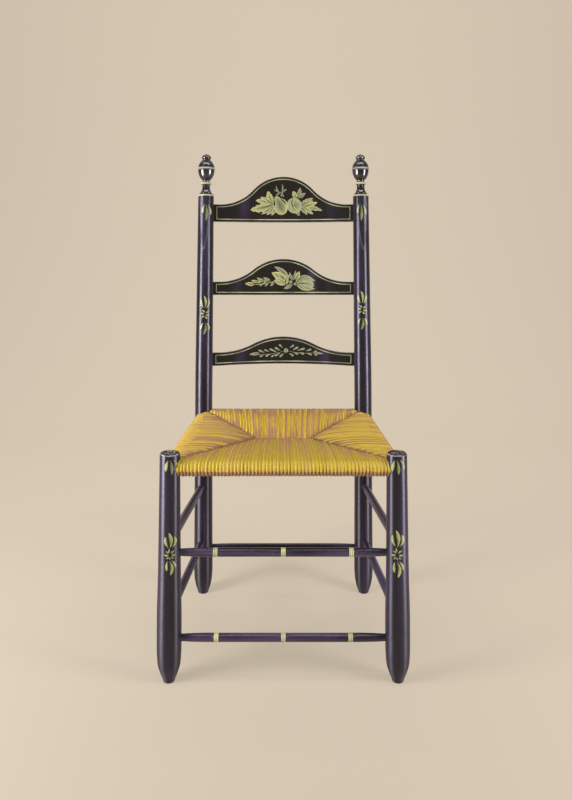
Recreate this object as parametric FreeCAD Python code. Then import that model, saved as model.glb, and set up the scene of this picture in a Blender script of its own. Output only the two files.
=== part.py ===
# Slat-back side chair with a woven rush seat, painted black.
#
# The frame is green-wood joinery: four turned posts, three bowed slats let into the rear posts,
# seven tapered stretchers and four seat rails, all held by round tenons in blind bored holes.
# Front and rear seat rails run past the post axis and lock the side rails' tenons in place.
# The rear posts are turned with their finials and then bent, so they rake further above the seat.
# Rush cord is wound round the rails in four courses that meet on mitred seams, over stuffing pads.
#
# Lengths are in millimetres. +Z is up, the sitter faces -Y, and X runs across the chair.
# The origin is on the floor, under the middle of the chair's bounding box.

import FreeCAD
import Part
import math
import os

Vector = FreeCAD.Vector
UP = Vector(0, 0, 1)
LEFT, RIGHT = -1, 1
SIDES = (("left", LEFT), ("right", RIGHT))
COURSES = ("front", "right", "rear", "left")

# Seat plan, measured between post axes at the height of the rails.
seat_width_front = 426.0
seat_width_rear = 374.0
seat_depth = 350.0

# Seat rails. The heights of the posts, the bend and the slats are taken from the rails.
rail_height = 426.0  # axis of the front and rear rails, above the floor
rail_stagger = 5.0  # the side rails' axes lie this much lower
rail_radius = 10.0
rail_tenon_radius = 7.5
rail_taper = 14.0
rail_lock = 6.0  # front and rear rails run this far past the post's axis
side_rail_pass = 1.5  # side rails run this far past it

# Stance of the posts.
front_splay = 9.0  # each front foot stands this far outside its place at the rails
rear_splay = 4.3
lower_rake = 2.4  # degrees that the rear posts lean back below the bend
upper_rake = 7.2  # degrees above the bend
bend_rise = 24.0  # from the rails to the start of the bend
bend_length = 90.0

# Front posts.
front_top_rise = 29.0  # from the rails to the post's top
front_post_radius = 23.8  # at the swell, above the foot
front_top_rounding = 3.0
front_top_facet_share = 0.35  # of the rounding, inwards, where its two facets meet
front_outline_shares = (  # (share of the height, share of the radius), foot to top
    (0.0, 0.46),
    (0.036, 0.70),
    (0.080, 0.93),
    (0.15, 1.0),
    (0.26, 1.0),
    (0.50, 0.91),
    (1.0, 0.80),
)
lathe_ring_depth = 0.8
lathe_ring_half_width = 0.9
lathe_ring_radius_shares = (0.66, 0.34)  # of the radius of the front post's top

# Rear posts.
rear_post_radius = 20.1  # along the bend
rear_top_radius = 18.3  # just under the finial
back_rise = 510.0  # from the rails to the top of the plain post, under the finial
rear_foot_outline_shares = (  # (share of the bend's start height, share of the radius)
    (0.0, 0.58),
    (0.036, 0.85),
    (0.080, 1.03),
    (0.14, 1.09),
    (0.30, 1.07),
    (1.0, 1.0),
)

# Finials, turned in one piece with the rear posts.
finial_height = 100.0
bead_height = 4.0
bead_bulge = 1.0
bead_easing = 1.0
neck_radius = 9.0
collar_radius = 12.3
stem_radius = 8.4
ball_radius = 19.4
ball_ring_height = 4.0
ball_ring_bulge = 1.1
cap_radius = 11.2
neck_mid_share = 0.11  # shares of the finial's height
neck_waist_share = 0.21
collar_base_share = 0.28
collar_top_share = 0.345
ball_base_share = 0.385
ball_middle_share = 0.655
ball_top_share = 0.865
cap_edge_share = 0.915
cap_crown_share = 0.965
neck_mid_radius_share = 0.36  # between the neck and the shoulder
collar_flat_share = 0.5  # of the collar's height
ball_flank_share = 0.78  # of the ball's radius, a third of the way up each half
cap_crown_radius_share = 0.66

# Round joints.
joint_clearance = 0.1
tenon_inset = 2.5  # a stretcher's tenon stops this far short of the post's axis
tenon_stagger = 20.0  # height between stretchers that meet in one post
shoulder_gap = 0.6  # between the start of a taper and the post

# Stretchers.
stretcher_radius = 8.3
stretcher_tenon_radius = 6.8
stretcher_taper = 50.0
front_lower_height = 88.0
front_upper_height = 260.0
rear_stretcher_height = 109.0
upper_side_rise = 18.0  # an upper side stretcher's front end is this much higher than its rear end
lower_side_rise = 5.0

# Slats: rise of the lower edge above the rails, height at the ends and height at the crown.
top_slat_rise = 452.0
top_slat_end = 41.0
top_slat_crown = 108.5
middle_slat_rise = 281.0
middle_slat_end = 31.0
middle_slat_crown = 85.5
bottom_slat_rise = 116.0
bottom_slat_end = 31.0
bottom_slat_crown = 68.0
bottom_slat_arch = 4.0
slat_thickness = 8.0
slat_bow = 20.0  # how far the middle sits behind the line between the posts
slat_tenon_inset = 3.0  # a slat stops this far short of the post's axis
slat_shoulder = 13.0  # level stretch beside each post
crown_radius_share = 0.47  # of the two radii of the ogee taken together

# Pegs through the top slat's tenons, driven from behind.
peg_radius = 3.0
peg_length = 27.0
peg_head_proud = 0.8
peg_head_easing = 1.0
peg_axis_offset = 7.5  # from the post's axis towards the middle of the chair
peg_height_share = 0.5  # of the slat's end

# Rush seat.
cord_thickness = 4.6
rush_clearance = 0.2
bridge_length = 112.0
bridge_depth_share = 0.49  # of the seat's depth, from the front
seat_dip = 12.5  # the bridge lies this far under the top of the front course
seat_crown = 6.5  # how far each course swells above a straight line, at its deepest
seat_centre_thickness = 17.0
corner_inset_share = 0.62  # of the post's radius: where a seam starts, inside the post
stuffing_clearance = 0.3
stuffing_start_share = 0.3  # of a seam's length, from its corner

# Working sizes.
overrun = 30.0  # how far a cutting tool runs past what it cuts


# Profiles and turned work.


def local_frame(base, along, sideways):
    """Return the placement that takes +Z to `along` and +X near to `sideways`, at `base`."""
    z_axis = Vector(along).normalize()
    y_axis = z_axis.cross(sideways).normalize()
    x_axis = y_axis.cross(z_axis)
    rotation = FreeCAD.Rotation(x_axis, y_axis, z_axis, "ZXY")
    return FreeCAD.Placement(base, rotation)


def arc(start, middle, end):
    """Return an arc edge through three points."""
    return Part.Arc(start, middle, end).toShape()


def line(start, end):
    """Return a straight edge."""
    return Part.LineSegment(start, end).toShape()


def spline(points):
    """Return a smooth edge through a few points."""
    curve = Part.BSplineCurve()
    curve.interpolate(points)
    return curve.toShape()


class Outline:
    """Half the outline of a turned piece, drawn in the XZ plane from foot to top."""

    def __init__(self, radius, height):
        self.first_height = height
        self.here = Vector(radius, 0, height)
        self.edges = []
        if radius > 0:
            self.edges.append(line(Vector(0, 0, height), self.here))

    def line_to(self, radius, height):
        """Add a straight run."""
        point = Vector(radius, 0, height)
        self.edges.append(line(self.here, point))
        self.here = point

    def arc_to(self, mid_radius, mid_height, radius, height):
        """Add an arc through a middle point."""
        point = Vector(radius, 0, height)
        self.edges.append(arc(self.here, Vector(mid_radius, 0, mid_height), point))
        self.here = point

    def run_through(self, stations):
        """Add straight runs through (radius, height) stations."""
        for radius, height in stations:
            self.line_to(radius, height)

    def spline_to(self, stations):
        """Add a smooth run through (radius, height) stations."""
        points = [self.here] + [Vector(radius, 0, height) for radius, height in stations]
        self.edges.append(spline(points))
        self.here = points[-1]

    def solid(self):
        """Close the outline on the axis and turn it into a solid."""
        if self.here.x > 0:
            self.line_to(0, self.here.z)
        self.edges.append(line(self.here, Vector(0, 0, self.first_height)))
        face = Part.Face(Part.Wire(self.edges))
        return face.revolve(Vector(0, 0, 0), UP, 360)


def between(stations, place):
    """Read a table of (place, value) stations at `place`, in straight steps."""
    for (low, low_value), (high, high_value) in zip(stations, stations[1:]):
        if place <= high:
            share = (place - low) / (high - low)
            return low_value + (high_value - low_value) * share
    return stations[-1][1]


def above_floor(shape):
    """Trim a leaning post level with the floor."""
    box = shape.BoundBox
    corner = Vector(box.XMin - overrun, box.YMin - overrun, -overrun * 2)
    cutter = Part.makeBox(box.XLength + overrun * 2, box.YLength + overrun * 2, overrun * 2, corner)
    return shape.cut(cutter)


# Where the post axes run.

front_post_height = rail_height + front_top_rise
bend_start_height = rail_height + bend_rise
shoulder_height = rail_height + back_rise
front_lean = math.atan2(front_splay, rail_height)
rear_lean = math.atan2(rear_splay, rail_height)
low_angle = math.radians(lower_rake)
high_angle = math.radians(upper_rake)
bend_radius = bend_length / (high_angle - low_angle)
rear_foot_depth = seat_depth - rail_height * math.tan(low_angle)
bend_start_depth = bend_start_height * math.tan(low_angle)
bend_height = bend_radius * (math.sin(high_angle) - math.sin(low_angle))
bend_depth = bend_radius * (math.cos(low_angle) - math.cos(high_angle))


def front_axis(side, height):
    """Return the point on a front post's axis at a height above the floor."""
    half_width = seat_width_front / 2 + front_splay - height * math.tan(front_lean)
    return Vector(side * half_width, 0, height)


def front_direction(side):
    """Return the upward direction of a front post."""
    return (front_axis(side, front_post_height) - front_axis(side, 0)).normalize()


def rear_axis(side, height):
    """Return the point on a rear post's axis at a height above the floor."""
    along = height / math.cos(rear_lean)
    if along <= bend_start_height:
        depth = along * math.tan(low_angle)
    elif along <= bend_start_height + bend_height:
        turned = math.asin(math.sin(low_angle) + (along - bend_start_height) / bend_radius)
        depth = bend_start_depth + bend_radius * (math.cos(low_angle) - math.cos(turned))
    else:
        above = along - bend_start_height - bend_height
        depth = bend_start_depth + bend_depth + above * math.tan(high_angle)
    half_width = seat_width_rear / 2 + rear_splay - height * math.tan(rear_lean)
    return Vector(side * half_width, rear_foot_depth + depth, height)


def front_radius(height):
    """Return a front post's radius at a height."""
    return front_post_radius * between(front_outline_shares, height / front_post_height)


def rear_radius(height):
    """Return a rear post's radius at a height."""
    if height <= bend_start_height:
        return rear_post_radius * between(rear_foot_outline_shares, height / bend_start_height)
    taper_start = bend_start_height + bend_height
    share = max(0.0, (height - taper_start) / (shoulder_height - taper_start))
    return rear_post_radius + (rear_top_radius - rear_post_radius) * share


# Posts.


def front_post_blank(side):
    """A front post before it is bored: swelling leg, tapered foot and a flat, ringed top."""
    length = front_post_height / math.cos(front_lean)
    foot_share = front_outline_shares[0][1]
    outline = Outline(front_post_radius * foot_share, -front_splay)
    outline.line_to(front_post_radius * foot_share, 0)
    outline.run_through([
        (front_post_radius * radius_share, length * height_share)
        for height_share, radius_share in front_outline_shares[1:-1]
    ])
    top_radius = front_post_radius * front_outline_shares[-1][1]
    facet = front_top_rounding * front_top_facet_share
    outline.run_through([
        (top_radius, length - front_top_rounding),
        (top_radius - facet, length - facet),
        (top_radius - front_top_rounding, length),
    ])
    for ring_share in lathe_ring_radius_shares:
        ring = top_radius * ring_share
        outline.line_to(ring + lathe_ring_half_width, length)
        outline.line_to(ring, length - lathe_ring_depth)
        outline.line_to(ring - lathe_ring_half_width, length)
    shape = outline.solid()
    shape.Placement = local_frame(front_axis(side, 0), front_direction(side), Vector(1, 0, 0))
    return above_floor(shape)


def finial(outline, base):
    """Draw the finial on top of a rear post's outline, from the height `base`."""

    def level(share):
        return base + finial_height * share

    bead = rear_top_radius + bead_bulge
    outline.run_through([
        (bead, base + bead_easing),
        (bead, base + bead_height - bead_easing),
        (rear_top_radius, base + bead_height),
    ])
    mid_radius = neck_radius + (rear_top_radius - neck_radius) * neck_mid_radius_share
    outline.spline_to([
        (mid_radius, level(neck_mid_share)),
        (neck_radius, level(neck_waist_share)),
        (neck_radius, level(collar_base_share)),
    ])
    collar_base, collar_top = level(collar_base_share), level(collar_top_share)
    slope = (collar_top - collar_base) * (1 - collar_flat_share) / 2
    outline.run_through([
        (collar_radius, collar_base + slope),
        (collar_radius, collar_top - slope),
        (stem_radius, collar_top),
        (stem_radius, level(ball_base_share)),
    ])
    ring_low = level(ball_middle_share) - ball_ring_height / 2
    ring_high = level(ball_middle_share) + ball_ring_height / 2
    flank = ball_radius * ball_flank_share
    outline.arc_to(flank, (level(ball_base_share) * 2 + ring_low) / 3, ball_radius, ring_low)
    outline.line_to(ball_radius + ball_ring_bulge, level(ball_middle_share))
    outline.line_to(ball_radius, ring_high)
    outline.arc_to(flank, (level(ball_top_share) * 2 + ring_high) / 3,
                   stem_radius, level(ball_top_share))
    outline.run_through([
        (cap_radius, level(cap_edge_share)),
        (cap_radius * cap_crown_radius_share, level(cap_crown_share)),
        (0, level(1)),
    ])


def rear_post_blank(side):
    """A rear post before it is mortised: turned foot, steamed bend, tapered back and finial."""
    foot_share = rear_foot_outline_shares[0][1]
    foot_length = bend_start_height / math.cos(low_angle)
    leg = Outline(rear_post_radius * foot_share, -rear_post_radius)
    leg.line_to(rear_post_radius * foot_share, 0)
    leg.run_through([
        (rear_post_radius * radius_share, foot_length * height_share)
        for height_share, radius_share in rear_foot_outline_shares[1:]
    ])
    lower = leg.solid()
    low_way = Vector(0, math.sin(low_angle), math.cos(low_angle))
    high_way = Vector(0, math.sin(high_angle), math.cos(high_angle))
    lower.Placement = local_frame(Vector(0, 0, 0), low_way, Vector(1, 0, 0))

    bend_start = low_way * foot_length
    circle = Part.Wire(Part.makeCircle(rear_post_radius, bend_start, low_way))
    bend_centre = bend_start + Vector(0, math.cos(low_angle), -math.sin(low_angle)) * bend_radius
    bend = Part.Face(circle).revolve(bend_centre, Vector(-1, 0, 0), upper_rake - lower_rake)

    bend_end = Vector(0, bend_start_depth + bend_depth, bend_start_height + bend_height)
    back_length = (shoulder_height / math.cos(rear_lean) - bend_end.z) / math.cos(high_angle)
    back = Outline(rear_post_radius, 0)
    back.line_to(rear_top_radius, back_length)
    finial(back, back_length)
    upper = back.solid()
    upper.Placement = local_frame(bend_end, high_way, Vector(1, 0, 0))

    post = lower.fuse([bend, upper]).removeSplitter()
    post.rotate(Vector(0, 0, 0), Vector(0, 1, 0), -side * math.degrees(rear_lean))
    post.translate(rear_axis(side, 0))
    return above_floor(post)


# Stretchers and rails.


def spindle(start, end, start_gap, end_gap, reach, tenon, middle, taper):
    """A round bar between two post axes, tapered to a tenon at each end.

    The gaps are the posts' radii. The reach says how far past each axis the tenons run, and is
    negative where they stop short.
    """
    way = end - start
    first_shoulder = start_gap + shoulder_gap
    last_shoulder = way.Length - end_gap - shoulder_gap
    outline = Outline(tenon, -reach)
    outline.run_through([
        (tenon, first_shoulder),
        (middle, first_shoulder + taper),
        (middle, last_shoulder - taper),
        (tenon, last_shoulder),
        (tenon, way.Length + reach),
    ])
    bar = outline.solid()
    bar.Placement = local_frame(start, way, UP)
    return bar


def bore(start, end, reach, tenon):
    """The holes for a bar's two tenons, as one cutting tool along its whole length."""
    way = (end - start).normalize()
    foot = start - way * (reach + joint_clearance)
    length = (end - start).Length + (reach + joint_clearance) * 2
    return Part.makeCylinder(tenon + joint_clearance, length, foot, way)


class Bar:
    """A stretcher or rail, with the tool that bores its two holes."""

    def __init__(self, start, end, start_gap, end_gap, reach, tenon, middle, taper):
        self.solid = spindle(start, end, start_gap, end_gap, reach, tenon, middle, taper)
        self.tool = bore(start, end, reach, tenon)


def stretcher(start, end, start_gap, end_gap):
    """A tapered stretcher whose tenons stop short of the post axes."""
    return Bar(start, end, start_gap, end_gap, -tenon_inset, stretcher_tenon_radius,
               stretcher_radius, stretcher_taper)


def rail(start, end, start_gap, end_gap, reach):
    """A seat rail with whittled ends."""
    return Bar(start, end, start_gap, end_gap, reach, rail_tenon_radius, rail_radius, rail_taper)


def across(axis_at, radius_at, height, make, *extra):
    """A bar that joins the left and right posts of one pair at a height."""
    gap = radius_at(height)
    return make(axis_at(LEFT, height), axis_at(RIGHT, height), gap, gap, *extra)


def front_to_back(side, front_height, rear_height, make, *extra):
    """A bar that joins the front and rear posts of one side."""
    return make(front_axis(side, front_height), rear_axis(side, rear_height),
                front_radius(front_height), rear_radius(rear_height), *extra)


# Slats.


def slat_frame(height):
    """The frame of a slat: X across, Z up along the raked posts, Y to the rear."""
    along = Vector(0, math.sin(high_angle), math.cos(high_angle))
    middle = rear_axis(RIGHT, height)
    return local_frame(Vector(0, middle.y, middle.z), along, Vector(1, 0, 0))


def ogee(half_length, half_span, low, high):
    """The top edge of a slat: level shoulders, hollow flanks and a round crown."""
    rise = high - low
    both = (half_span ** 2 + rise ** 2) / (2 * rise)
    crown = both * crown_radius_share
    hollow = both - crown
    turn = math.asin(half_span / both)
    join_x = crown * math.sin(turn)
    join_z = high - crown * (1 - math.cos(turn))
    half_turn = turn / 2
    hollow_x = half_span - hollow * math.sin(half_turn)
    hollow_z = low + hollow * (1 - math.cos(half_turn))
    edges = [line(Vector(-half_length, 0, low), Vector(-half_span, 0, low))]
    edges.append(arc(Vector(-half_span, 0, low), Vector(-hollow_x, 0, hollow_z),
                     Vector(-join_x, 0, join_z)))
    edges.append(arc(Vector(-join_x, 0, join_z), Vector(0, 0, high), Vector(join_x, 0, join_z)))
    edges.append(arc(Vector(join_x, 0, join_z), Vector(hollow_x, 0, hollow_z),
                     Vector(half_span, 0, low)))
    edges.append(line(Vector(half_span, 0, low), Vector(half_length, 0, low)))
    return edges


def slat_solid(rise, end_height, crown_height, arch, grow=0):
    """A bowed slat with its tenons, or the mortise tool for it when `grow` is a clearance."""
    height = rail_height + rise
    post = rear_axis(RIGHT, height + end_height / 2)
    post_gap = rear_radius(height + end_height / 2)
    half_length = post.x - slat_tenon_inset + grow
    half_span = post.x - post_gap - slat_shoulder

    bow_radius = (post.x ** 2 + slat_bow ** 2) / (2 * slat_bow)
    centre_y = slat_bow - bow_radius
    half_thick = slat_thickness / 2 + grow

    def on_bow(x, offset):
        return Vector(x, centre_y + math.sqrt((bow_radius + offset) ** 2 - x ** 2), -overrun)

    band = Part.Wire([
        arc(on_bow(-half_length, half_thick), on_bow(0, half_thick), on_bow(half_length, half_thick)),
        line(on_bow(half_length, half_thick), on_bow(half_length, -half_thick)),
        arc(on_bow(half_length, -half_thick), on_bow(0, -half_thick), on_bow(-half_length, -half_thick)),
        line(on_bow(-half_length, -half_thick), on_bow(-half_length, half_thick)),
    ])
    board = Part.Face(band).extrude(UP * (crown_height + overrun * 2))

    top = ogee(half_length + overrun, half_span, end_height + grow, crown_height + grow)
    low_left = Vector(-half_length - overrun, 0, -grow)
    low_right = Vector(half_length + overrun, 0, -grow)
    if arch > 0:
        bottom = [
            line(low_right, Vector(half_span, 0, -grow)),
            arc(Vector(half_span, 0, -grow), Vector(0, 0, arch - grow), Vector(-half_span, 0, -grow)),
            line(Vector(-half_span, 0, -grow), low_left),
        ]
    else:
        bottom = [line(low_right, low_left)]
    edges = top + [line(top[-1].Vertexes[-1].Point, low_right)] + bottom
    edges.append(line(low_left, top[0].Vertexes[0].Point))
    reach = slat_bow + slat_thickness + overrun
    stencil = Part.Face(Part.Wire(edges))
    stencil.translate(Vector(0, -reach, 0))
    solid = board.common(stencil.extrude(Vector(0, reach * 2, 0)))
    solid.Placement = slat_frame(height)
    return solid


# Pegs.


def peg_line(side):
    """The point and direction of a peg, at the back of a rear post and pointing forwards."""
    height = rail_height + top_slat_rise + top_slat_end * peg_height_share
    axis = rear_axis(side, height)
    radius = rear_radius(height)
    back = math.sqrt(radius ** 2 - peg_axis_offset ** 2) + peg_head_proud
    to_back = Vector(0, math.cos(high_angle), -math.sin(high_angle))
    point = axis + to_back * back - Vector(side * peg_axis_offset, 0, 0)
    return point, to_back * -1


def peg(side):
    """A whittled peg with an eased head and a blunt point."""
    point, forwards = peg_line(side)
    outline = Outline(peg_radius - peg_head_easing, 0)
    outline.line_to(peg_radius, peg_head_proud)
    outline.line_to(peg_radius, peg_length - peg_radius)
    outline.line_to(peg_radius / 2, peg_length)
    shape = outline.solid()
    shape.Placement = local_frame(point, forwards, UP)
    return shape


def peg_hole(side):
    """The hole that takes a peg through post and slat."""
    point, forwards = peg_line(side)
    length = peg_length + joint_clearance + overrun
    return Part.makeCylinder(peg_radius + joint_clearance, length, point - forwards * overrun, forwards)


# Rush seat.

rush_radius = rail_radius + rush_clearance + cord_thickness
side_rail_height = rail_height - rail_stagger
bridge_depth = seat_depth * bridge_depth_share
front_inset = front_radius(rail_height) * corner_inset_share
rear_inset = rear_radius(rail_height) * corner_inset_share
corner_top = (rail_height + side_rail_height) / 2 + rush_radius
bridge_top = rail_height + rush_radius - seat_dip
bridge_bottom = bridge_top - seat_centre_thickness


class Seam:
    """An upright line where courses meet: its place in plan and the height of its top."""

    def __init__(self, x, y, top):
        self.x = x
        self.y = y
        self.top = top

    def distance(self, other):
        """The distance to another seam line, in plan."""
        return math.hypot(other.x - self.x, other.y - self.y)

    def towards(self, other, share):
        """The seam line part of the way to another one."""
        def mix(a, b):
            return a + (b - a) * share
        return Seam(mix(self.x, other.x), mix(self.y, other.y), mix(self.top, other.top))


def front_corner(side):
    """Where the seam leaves a front post."""
    return Seam(side * (seat_width_front / 2 - front_inset), front_inset, corner_top)


def rear_corner(side):
    """Where the seam leaves a rear post."""
    return Seam(side * (seat_width_rear / 2 - rear_inset), seat_depth - rear_inset, corner_top)


def bridge_end(side):
    """Where the seams of one side meet the bridge in the middle of the seat."""
    return Seam(side * bridge_length / 2, bridge_depth, bridge_top)


def rail_line(course):
    """The two ends of the axis of a course's rail."""
    if course == "front":
        return front_axis(LEFT, rail_height), front_axis(RIGHT, rail_height)
    if course == "rear":
        return rear_axis(RIGHT, rail_height), rear_axis(LEFT, rail_height)
    if course == "left":
        return rear_axis(LEFT, side_rail_height), front_axis(LEFT, side_rail_height)
    return front_axis(RIGHT, side_rail_height), rear_axis(RIGHT, side_rail_height)


def square_to_rail(course, seam):
    """The point on the rail square to a seam line, the inward direction and the distance."""
    start, end = rail_line(course)
    way = (end - start).normalize()
    inward = UP.cross(way)
    to_seam = Vector(seam.x, seam.y, start.z) - start
    return start + way * to_seam.dot(way), inward, to_seam.dot(inward)


def deepest(course):
    """How far a course reaches from its rail to the bridge."""
    return square_to_rail(course, bridge_end(LEFT if course == "left" else RIGHT))[2]


def cord_section(course, seam):
    """The outline of a course where it meets one seam line: over the rail, round it and back."""
    centre, inward, depth = square_to_rail(course, seam)

    def at(inwards, height):
        return centre + inward * inwards + UP * height

    top = seam.top - centre.z
    reach = depth / deepest(course)
    bottom = (bridge_bottom - centre.z + rush_radius) * reach - rush_radius
    slant = rush_radius * math.sqrt(0.5)
    top_middle = (top + rush_radius) / 2 + seat_crown * reach
    return Part.Wire([
        arc(at(depth, top), at(depth / 2, top_middle), at(0, rush_radius)),
        arc(at(0, rush_radius), at(-slant, slant), at(-rush_radius, 0)),
        arc(at(-rush_radius, 0), at(-slant, -slant), at(0, -rush_radius)),
        line(at(0, -rush_radius), at(depth, bottom)),
        line(at(depth, bottom), at(depth, top)),
    ])


def course_seams(course, start_share=0, start_gap=0):
    """The seam lines that a course passes, starting part of the way along the outer ones."""

    def outer(corner, side):
        near, far = corner(side), bridge_end(side)
        return near.towards(far, start_share + start_gap / near.distance(far))

    if course in ("front", "rear"):
        corner = front_corner if course == "front" else rear_corner
        return [outer(corner, LEFT), bridge_end(LEFT), bridge_end(RIGHT), outer(corner, RIGHT)]
    side = LEFT if course == "left" else RIGHT
    return [outer(front_corner, side), bridge_end(side), outer(rear_corner, side)]


def stuffing(course, shrink):
    """The flat stuffing pad of a course, or its pocket when nothing is taken off."""
    skin = cord_thickness + shrink
    low = bridge_bottom + skin
    high = bridge_top - skin
    outer_edge, inner_edge = [], []
    for seam in course_seams(course, stuffing_start_share, shrink):
        point, inward, depth = square_to_rail(course, seam)
        outer_edge.append(point + inward * (rush_radius + shrink))
        inner_edge.append(point + inward * (depth - skin))
    inner_edge.reverse()
    corners = [Vector(point.x, point.y, low) for point in outer_edge + inner_edge]
    plan = Part.Face(Part.makePolygon(corners + corners[:1]))
    return plan.extrude(UP * (high - low))


def post_sleeve(point, direction, radius):
    """The space that the rush leaves for a post."""
    foot = point - direction * (rush_radius + overrun)
    return Part.makeCylinder(radius + rush_clearance, (rush_radius + overrun) * 2, foot, direction)


def rush_course(course):
    """One course of rush: wound round its rail, mitred to its neighbours, with a stuffed pocket."""
    sections = [cord_section(course, seam) for seam in course_seams(course)]
    body = Part.makeLoft(sections, True, True)
    tools = [stuffing(course, 0)]
    start, end = rail_line(course)
    way = end - start
    tools.append(Part.makeCylinder(rail_radius + rush_clearance, way.Length, start, way))
    for side in (LEFT, RIGHT):
        if course != "rear":
            tools.append(post_sleeve(front_axis(side, rail_height), front_direction(side),
                                     front_radius(rail_height - rush_radius)))
        if course != "front":
            rear_way = rear_axis(side, rail_height + rush_radius) - rear_axis(side, rail_height)
            tools.append(post_sleeve(rear_axis(side, rail_height), rear_way.normalize(),
                                     rear_radius(rail_height - rush_radius)))
    return body.cut(tools)


# The chair, piece by piece.


def build():
    """Return every piece by name, in the chair's own frame with the front posts on Y = 0."""
    pieces = {}
    stretchers = {
        "front_stretcher_lower": across(front_axis, front_radius, front_lower_height, stretcher),
        "front_stretcher_upper": across(front_axis, front_radius, front_upper_height, stretcher),
        "rear_stretcher": across(rear_axis, rear_radius, rear_stretcher_height, stretcher),
    }
    low = rear_stretcher_height + tenon_stagger
    high = front_upper_height + tenon_stagger
    for name, side in SIDES:
        stretchers["side_stretcher_lower_" + name] = front_to_back(
            side, low + lower_side_rise, low, stretcher)
        stretchers["side_stretcher_upper_" + name] = front_to_back(
            side, high, high - upper_side_rise, stretcher)
    rails = {
        "seat_rail_front": across(front_axis, front_radius, rail_height, rail, rail_lock),
        "seat_rail_rear": across(rear_axis, rear_radius, rail_height, rail, rail_lock),
    }
    locks = [rails["seat_rail_front"].tool, rails["seat_rail_rear"].tool]
    for name, side in SIDES:
        rails["seat_rail_" + name] = front_to_back(
            side, side_rail_height, side_rail_height, rail, side_rail_pass)

    slats = {
        "slat_top": (top_slat_rise, top_slat_end, top_slat_crown, 0),
        "slat_middle": (middle_slat_rise, middle_slat_end, middle_slat_crown, 0),
        "slat_bottom": (bottom_slat_rise, bottom_slat_end, bottom_slat_crown, bottom_slat_arch),
    }
    mortises = [slat_solid(*sizes, joint_clearance) for sizes in slats.values()]
    peg_holes = [peg_hole(side) for name, side in SIDES]
    bores = [bar.tool for bar in list(stretchers.values()) + list(rails.values())]

    for name, side in SIDES:
        pieces["front_post_" + name] = front_post_blank(side).cut(bores)
        pieces["rear_post_" + name] = rear_post_blank(side).cut(bores + mortises + peg_holes)
        pieces["slat_peg_" + name] = peg(side)
    for name, bar in stretchers.items():
        pieces[name] = bar.solid
    for name, bar in rails.items():
        crosses = name in ("seat_rail_left", "seat_rail_right")
        pieces[name] = bar.solid.cut(locks) if crosses else bar.solid
    for name, sizes in slats.items():
        slat = slat_solid(*sizes)
        pieces[name] = slat.cut(peg_holes) if name == "slat_top" else slat

    for course in COURSES:
        pieces["rush_" + course] = rush_course(course)
        pieces["stuffing_" + course] = stuffing(course, stuffing_clearance)
    return pieces


def main():
    """Build the chair, centre it over its origin and write one STEP file per piece."""
    pieces = build()
    front = min(shape.BoundBox.YMin for shape in pieces.values())
    back = max(shape.BoundBox.YMax for shape in pieces.values())
    os.makedirs("parts", exist_ok=True)
    for name, shape in pieces.items():
        shape.translate(Vector(0, -(front + back) / 2, 0))
        if len(shape.Solids) != 1 or not shape.isValid():
            raise ValueError(name + " is not one sound solid")
        shape.Solids[0].exportStep("parts/" + name + ".step")


main()
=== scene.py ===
"""Visual model of a slat-back side chair: turned posts, bowed slats, stencils and a rush seat."""

import logging
import math
from dataclasses import dataclass, field, replace
from enum import Enum
from functools import cached_property, partial
from random import Random
from typing import Callable, ClassVar

import bmesh
import bpy
from bmesh.types import BMesh, BMFace, BMVert
from bpy.types import Material, Node, NodeSocket, NodeTree, Object
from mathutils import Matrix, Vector, geometry, noise


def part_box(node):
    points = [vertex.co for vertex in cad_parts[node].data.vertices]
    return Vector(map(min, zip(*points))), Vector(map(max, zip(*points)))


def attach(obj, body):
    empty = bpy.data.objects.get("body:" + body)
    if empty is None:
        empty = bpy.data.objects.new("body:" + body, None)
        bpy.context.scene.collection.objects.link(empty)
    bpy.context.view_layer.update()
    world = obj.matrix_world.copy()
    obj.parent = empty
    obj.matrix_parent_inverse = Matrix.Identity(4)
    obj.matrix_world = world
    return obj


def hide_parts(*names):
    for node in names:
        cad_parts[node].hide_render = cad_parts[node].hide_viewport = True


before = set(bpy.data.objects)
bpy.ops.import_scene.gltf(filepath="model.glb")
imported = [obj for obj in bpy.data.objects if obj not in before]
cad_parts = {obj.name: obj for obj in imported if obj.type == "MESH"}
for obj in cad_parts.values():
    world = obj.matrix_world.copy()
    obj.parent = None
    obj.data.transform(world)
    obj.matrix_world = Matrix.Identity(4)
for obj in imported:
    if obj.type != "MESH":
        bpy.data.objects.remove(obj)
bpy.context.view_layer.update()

LOG = logging.getLogger("side_chair")
MM = 0.001
SAME_PLACE = 1e-6  # points that lie this close are one point
MIRROR_WELD = 1e-5
TURN_STEPS = 64
SLICES = 60  # cuts across a slat, which let it bow
LEG_PACE = 0.008  # the paces are the heights between two points of a turning's outline
BAND_PACE = 0.006
BEND_PACE = 0.010
LONG_PACE = 0.020
FINIAL_PACE = 0.0012
CAP_PACE = 0.0008
SHARP_ANGLE = math.radians(38)
# Rubbing also places a painted edge sheen.
FULL_RUB_AND_SHEEN_ANGLE = 0.7  # an edge turned this far, in radians, is rubbed the most
TWO_PI = 2 * math.pi
ACROSS, UP = Vector((1, 0, 0)), Vector((0, 0, 1))

Pair = tuple[float, float]
Triple = tuple[float, float, float]
Colour = tuple[float, float, float, float]
Run = list[Pair]
Place = Callable[[Vector], Vector]
Skin = Callable[[float, float, float], Vector]


class Side(Enum):
    """The chair's two sides, as someone who faces it sees them."""

    LEFT = -1
    RIGHT = 1

    @property
    def tag(self) -> str:
        """The side's name in the pieces' names."""
        return self.name.lower()


# Where the chair's axes run.


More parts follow.
